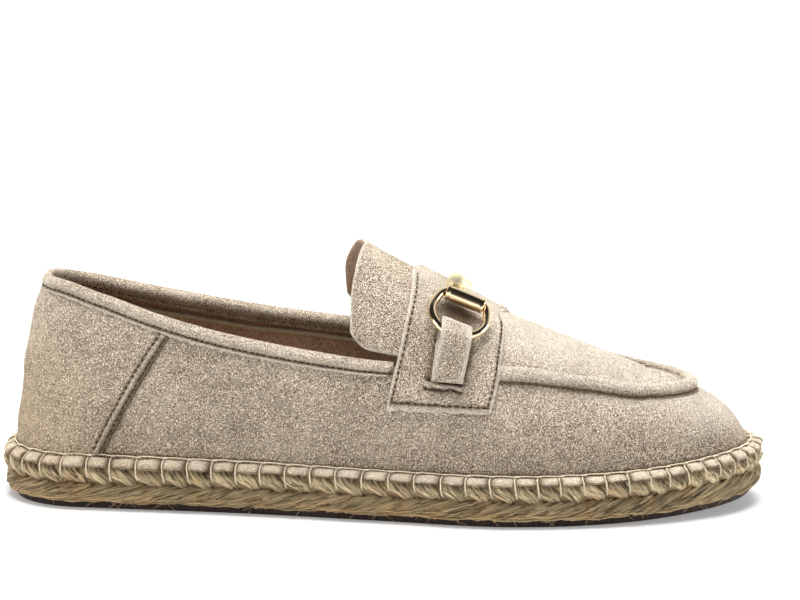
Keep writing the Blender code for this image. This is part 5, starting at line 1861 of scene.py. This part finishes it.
# %% The thread round the sole
ROUND_THREAD = 0.28 * MM  # radius
THREAD_DROP = np.array([  # run from the pinch, inset, height, mm
    (0.9, 4.9, 18.3), (0.45, 4.3, 18.2), (0.05, 3.6, 17.6), (-0.1, 2.8, 17.0), (-0.15, 2.0, 16.4),
    (-0.1, 1.4, 15.8), (0.0, 1.0, 15.2), (0.1, 0.7, 14.4), (0.2, 0.5, 13.4), (0.35, 0.5, 12.4),
    (0.5, 0.8, 11.5), (0.6, 1.4, 10.9), (0.7, 2.4, 10.6)])


def make_blanket_stitch():
    """A bent tube down each pinch, and a shallow bow along the top of each puff."""
    number = np.arange(STITCHES_ROUND)
    t = np.linspace(0, 1, len(THREAD_DROP))
    sway = rng.uniform(-1, 1, (2, STITCHES_ROUND))
    pinch = run_at_stitch(number)[:, None] / MM
    at = pinch + THREAD_DROP[:, 0] + sway[0][:, None] * (0.7 * t) ** 2
    height = THREAD_DROP[:, 2] + sway[1][:, None] * 0.6 * t ** 2
    past_hem = held((15.0 - height) / 2)
    height = hem_height(at * MM, height * MM) * (1 - past_hem) + height * MM * past_hem
    down = wall_place(at * MM, THREAD_DROP[:, 1] * MM + 0 * at, height)
    down_out = wall_outward(at * MM) + np.array([0, 0, 0.6])
    along = pinch + 0.2 + (run_at_stitch(number + 1)[:, None] / MM - pinch + 1.3) * t
    inset = 3.7 + 0.2 * np.sin(np.pi * t) - 0.35 * (t - 0.5) + 0 * along
    height = 18.55 + 0.3 * np.sin(np.pi * t) - 0.35 * (t - 0.5) + 0.12 * sway[1][:, None]
    level = wall_place(along * MM, inset * MM, hem_height(along * MM, height * MM))
    level_out = wall_outward(along * MM) + np.array([0, 0, 0.8])
    radii = np.full(at.shape, ROUND_THREAD)
    paths, outward = np.concatenate([down, level]), np.concatenate([down_out, level_out])
    points = tube_points(paths, np.concatenate([radii, radii * 0.8]), outward, 8)
    make_piece("blanket_stitch", points, tube_faces(len(paths), len(t), 8), [cream_thread], "jute")


make_blanket_stitch()

# %% [markdown]
# ## Loose fibres
# Jute sheds. Fine hairs stand off the rope, most of them near the bottom and in the
# joint between the courses. Each is a thin curved tube, started at a seeded place.

# %% The hairs
HAIRS = 420
HAIR_HEIGHT = 3.4, 4.5, 8.6, 11.0, 13.5  # mm above the floor, where they grow,
HAIR_SHARE = 0.34, 0.2, 0.2, 0.16, 0.1  # and what share of them grows there


def make_hairs():
    """Thin arcs: each leaves the wall, bends over along it and droops or rises."""
    count, t = HAIRS, np.linspace(0, 1, 10)
    root = rng.uniform(0, LENGTH_ROUND / MM, count)[:, None]
    height = rng.choice(HAIR_HEIGHT, count, p=HAIR_SHARE)[:, None]
    height = height + rng.uniform(-0.8, 0.8, (count, 1))
    long = rng.uniform(2.0, 6.5, (count, 1))
    lean = rng.uniform(-1, 1, (count, 1))
    stand = rng.uniform(0.15, 0.9, (count, 1))
    droop = rng.uniform(-0.7, 0.6, (count, 1))
    run = root + lean * long * t + 0.5 * np.sin(3 * t + root)
    inset = 1.3 - stand * long * 0.6 * np.sin(np.pi * 0.62 * t)
    height = np.maximum(height + droop * long * t ** 1.6, 0.3)
    paths = wall_place(run * MM, inset * MM, height * MM)
    radii = np.broadcast_to(0.055 * MM * (1 - 0.6 * t), (count, 10))
    outward = np.broadcast_to(wall_outward(root * MM), paths.shape) + np.array([0, 0, 0.3])
    points = tube_points(paths, radii, outward, 4)
    piece = make_piece("jute_hairs", points, tube_faces(count, 10, 4), [straw_jute], "jute", (),
                       {"yarn_tone": 0.45, "shaded": 0.0})
    yarn_uv(piece, 10, 4, girth=1 * MM)


make_hairs()

# %% [markdown]
# ## Outsole and sock
# Under the rope lies a thin sheet of dark rubber, a little smaller than the rope. Its
# ribs, which keep it from slipping, are fine enough for the finish's bump. Inside, on
# top of the rope, is a soft brown sock with a row of stitches near its rim.
# Both are slabs, as the rope's core is: a profile of inset and height, closed to the
# centre line.

# %% The outsole
OUTSOLE_PROFILE = np.array([  # inset, height, mm
    (5.6, 0.35), (5.2, 0.0), (4.5, 0.05), (4.15, 0.35), (4.0, 0.9), (3.9, 2.6), (5.0, 2.75)])
make_slab("outsole_rubber", OUTSOLE_PROFILE, dark_rubber, "rubber", "outsole", sharp=50)

# %% The sock
SOCK_PROFILE = np.array([  # inset, height, mm
    (7.6, 15.2), (7.3, 15.4), (7.2, 16.4), (7.35, 17.2), (7.9, 17.75), (8.9, 17.95)])
make_slab("sock", SOCK_PROFILE, brown_lining, "lining", "insole")


# %% The sock's stitches
def sock_row():
    """One row of longer stitches round the sock, just inside its rim."""
    runs = np.linspace(0, LENGTH_ROUND, 600)
    path = wall_place(runs, 10.5 * MM, 17.95 * MM)
    return [stitches_along(path, np.broadcast_to((0.0, 0.0, 1.0), path.shape), 3.2 * MM, 2.4 * MM)]


make_thread("sock_stitches", sock_row(), "lining")

# %% [markdown]
# ## The studio
# A pale floor, a white surround and soft lights. The key light is broad and hangs high
# over the shoe. A low fill stands beyond the toe, and a faint warm one beyond the heel.
# The surround is plain white to the eye. What the metal mirrors is another matter: there
# it is dim, darkest high up, and bright only behind the shoe, so that the gold shows
# black and cream bands. For the same reason the metal doesn't mirror the key light.


# %% Floor
def make_floor():
    """A wide level sheet, almost white."""
    mesh = bpy.data.meshes.new("floor")
    reach = 6.0
    mesh.from_pydata([(-reach, -reach, 0), (reach, -reach, 0), (reach, reach, 0), (-reach, reach, 0)],
                     [], [(0, 1, 2, 3)])
    material, tree = new_finish("floor_paper", 0.9, 0.0, Emission_Color=(1, 1, 1, 1))
    inputs = tree.nodes["Principled BSDF"].inputs
    cloud = between(tree, grain(tree, 0.5), 0.3, 0.7)
    feed(tree, inputs["Base Color"], blend_colours(tree, cloud, (0.64, 0.64, 0.64), (0.66, 0.66, 0.66)))
    middle = add_node(tree, "ShaderNodeTexCoord").outputs["Object"]
    away = add_node(tree, "ShaderNodeVectorMath", {0: middle}, operation="LENGTH").outputs["Value"]
    feed(tree, inputs["Emission Strength"], between(tree, away, 0.30, 0.80, 0.28, 0.9))
    mesh.materials.append(material)
    in_scene("floor", mesh)


make_floor()


# %% Lights
def area_light(name, place, aim, size, power, colour=(1.0, 1.0, 1.0), mirrored=True):
    """A square soft light at a place, turned toward what it lights."""
    light = bpy.data.lights.new(name, "AREA")
    light.shape, light.size, light.energy, light.color = "SQUARE", size, power, colour
    lamp = in_scene(name, light)
    lamp.visible_glossy = mirrored
    direction = Vector(aim) - Vector(place)
    lamp.location = place
    lamp.rotation_euler = direction.to_track_quat("-Z", "Y").to_euler()


area_light("key", (-0.03, 0.02, 1.22), (0.0, 0.0, 0.04), 1.0, 34.0, mirrored=False)
area_light("toe_fill", (1.25, 0.15, 0.28), (0.10, 0.0, 0.04), 0.5, 4.5)
area_light("left_fill", (-1.25, -0.9, 0.40), (-0.04, 0.0, 0.04), 0.6, 5.5, (1.0, 0.95, 0.88))


# %% Surround
PLAIN_WHITE = 1.3  # brightness of the background to the eye


def white_surround():
    """Plain white for the eye; for light and mirrors, dim in front and bright behind."""
    world = bpy.data.worlds.new("surround")
    world.use_nodes = True
    tree = world.node_tree
    lit = tree.nodes["Background"]
    direction = add_node(tree, "ShaderNodeTexCoord").outputs["Generated"]
    height = add_node(tree, "ShaderNodeSeparateXYZ", {0: direction}).outputs[2]
    dim = between(tree, height, 0.05, 0.5, 0.30, 0.03)
    behind = add_node(tree, "ShaderNodeSeparateXYZ", {0: direction}).outputs[1]
    level = add_up(tree, dim, between(tree, behind, 0.12, 0.40, 0.0, 0.9))
    feed(tree, lit.inputs["Strength"], level)
    plain = add_node(tree, "ShaderNodeBackground", {0: (1, 1, 1), 1: PLAIN_WHITE})
    seen = add_node(tree, "ShaderNodeLightPath").outputs["Is Camera Ray"]
    both = add_node(tree, "ShaderNodeMixShader", {0: seen, 1: lit.outputs[0], 2: plain.outputs[0]})
    feed(tree, tree.nodes["World Output"].inputs["Surface"], both.outputs[0])
    feed(tree, lit.inputs["Color"], (1, 1, 1))
    bpy.context.scene.world = world


white_surround()
bpy.context.scene.view_settings.view_transform = "Standard"

# %% Camera
CAMERA_TURN, CAMERA_RISE = np.radians(6), np.radians(12)
CAMERA_FAR, CAMERA_LENS = 1.2, 158.4  # in metres, and in millimetres
CAMERA_TARGET = np.array([0.130, 0.0, 0.045]) - MIDDLE
CAMERA_ASIDE, CAMERA_ABOVE = 6.7 * MM, 22.7 * MM  # from the target to where it aims


def set_camera():
    """A long lens, a little toward the toe and above, aimed so that the shoe stands low in view."""
    back = np.array([np.sin(CAMERA_TURN) * np.cos(CAMERA_RISE),
                     -np.cos(CAMERA_TURN) * np.cos(CAMERA_RISE), np.sin(CAMERA_RISE)])
    right = np.array([np.cos(CAMERA_TURN), np.sin(CAMERA_TURN), 0.0])
    up = np.cross(back, right)
    place = CAMERA_TARGET + back * CAMERA_FAR
    aim = CAMERA_TARGET + right * CAMERA_ASIDE + up * CAMERA_ABOVE
    lens = bpy.data.cameras.new("camera")
    lens.lens, lens.sensor_width = CAMERA_LENS, 36
    camera = in_scene("camera", lens)
    camera.location = place
    camera.rotation_euler = Vector(aim - place).to_track_quat("-Z", "Y").to_euler()
    bpy.context.scene.camera = camera


set_camera()


# %% A box as plain numbers
def corners(box):
    """A box as plain numbers."""
    return [[float(v) for v in corner] for corner in box]
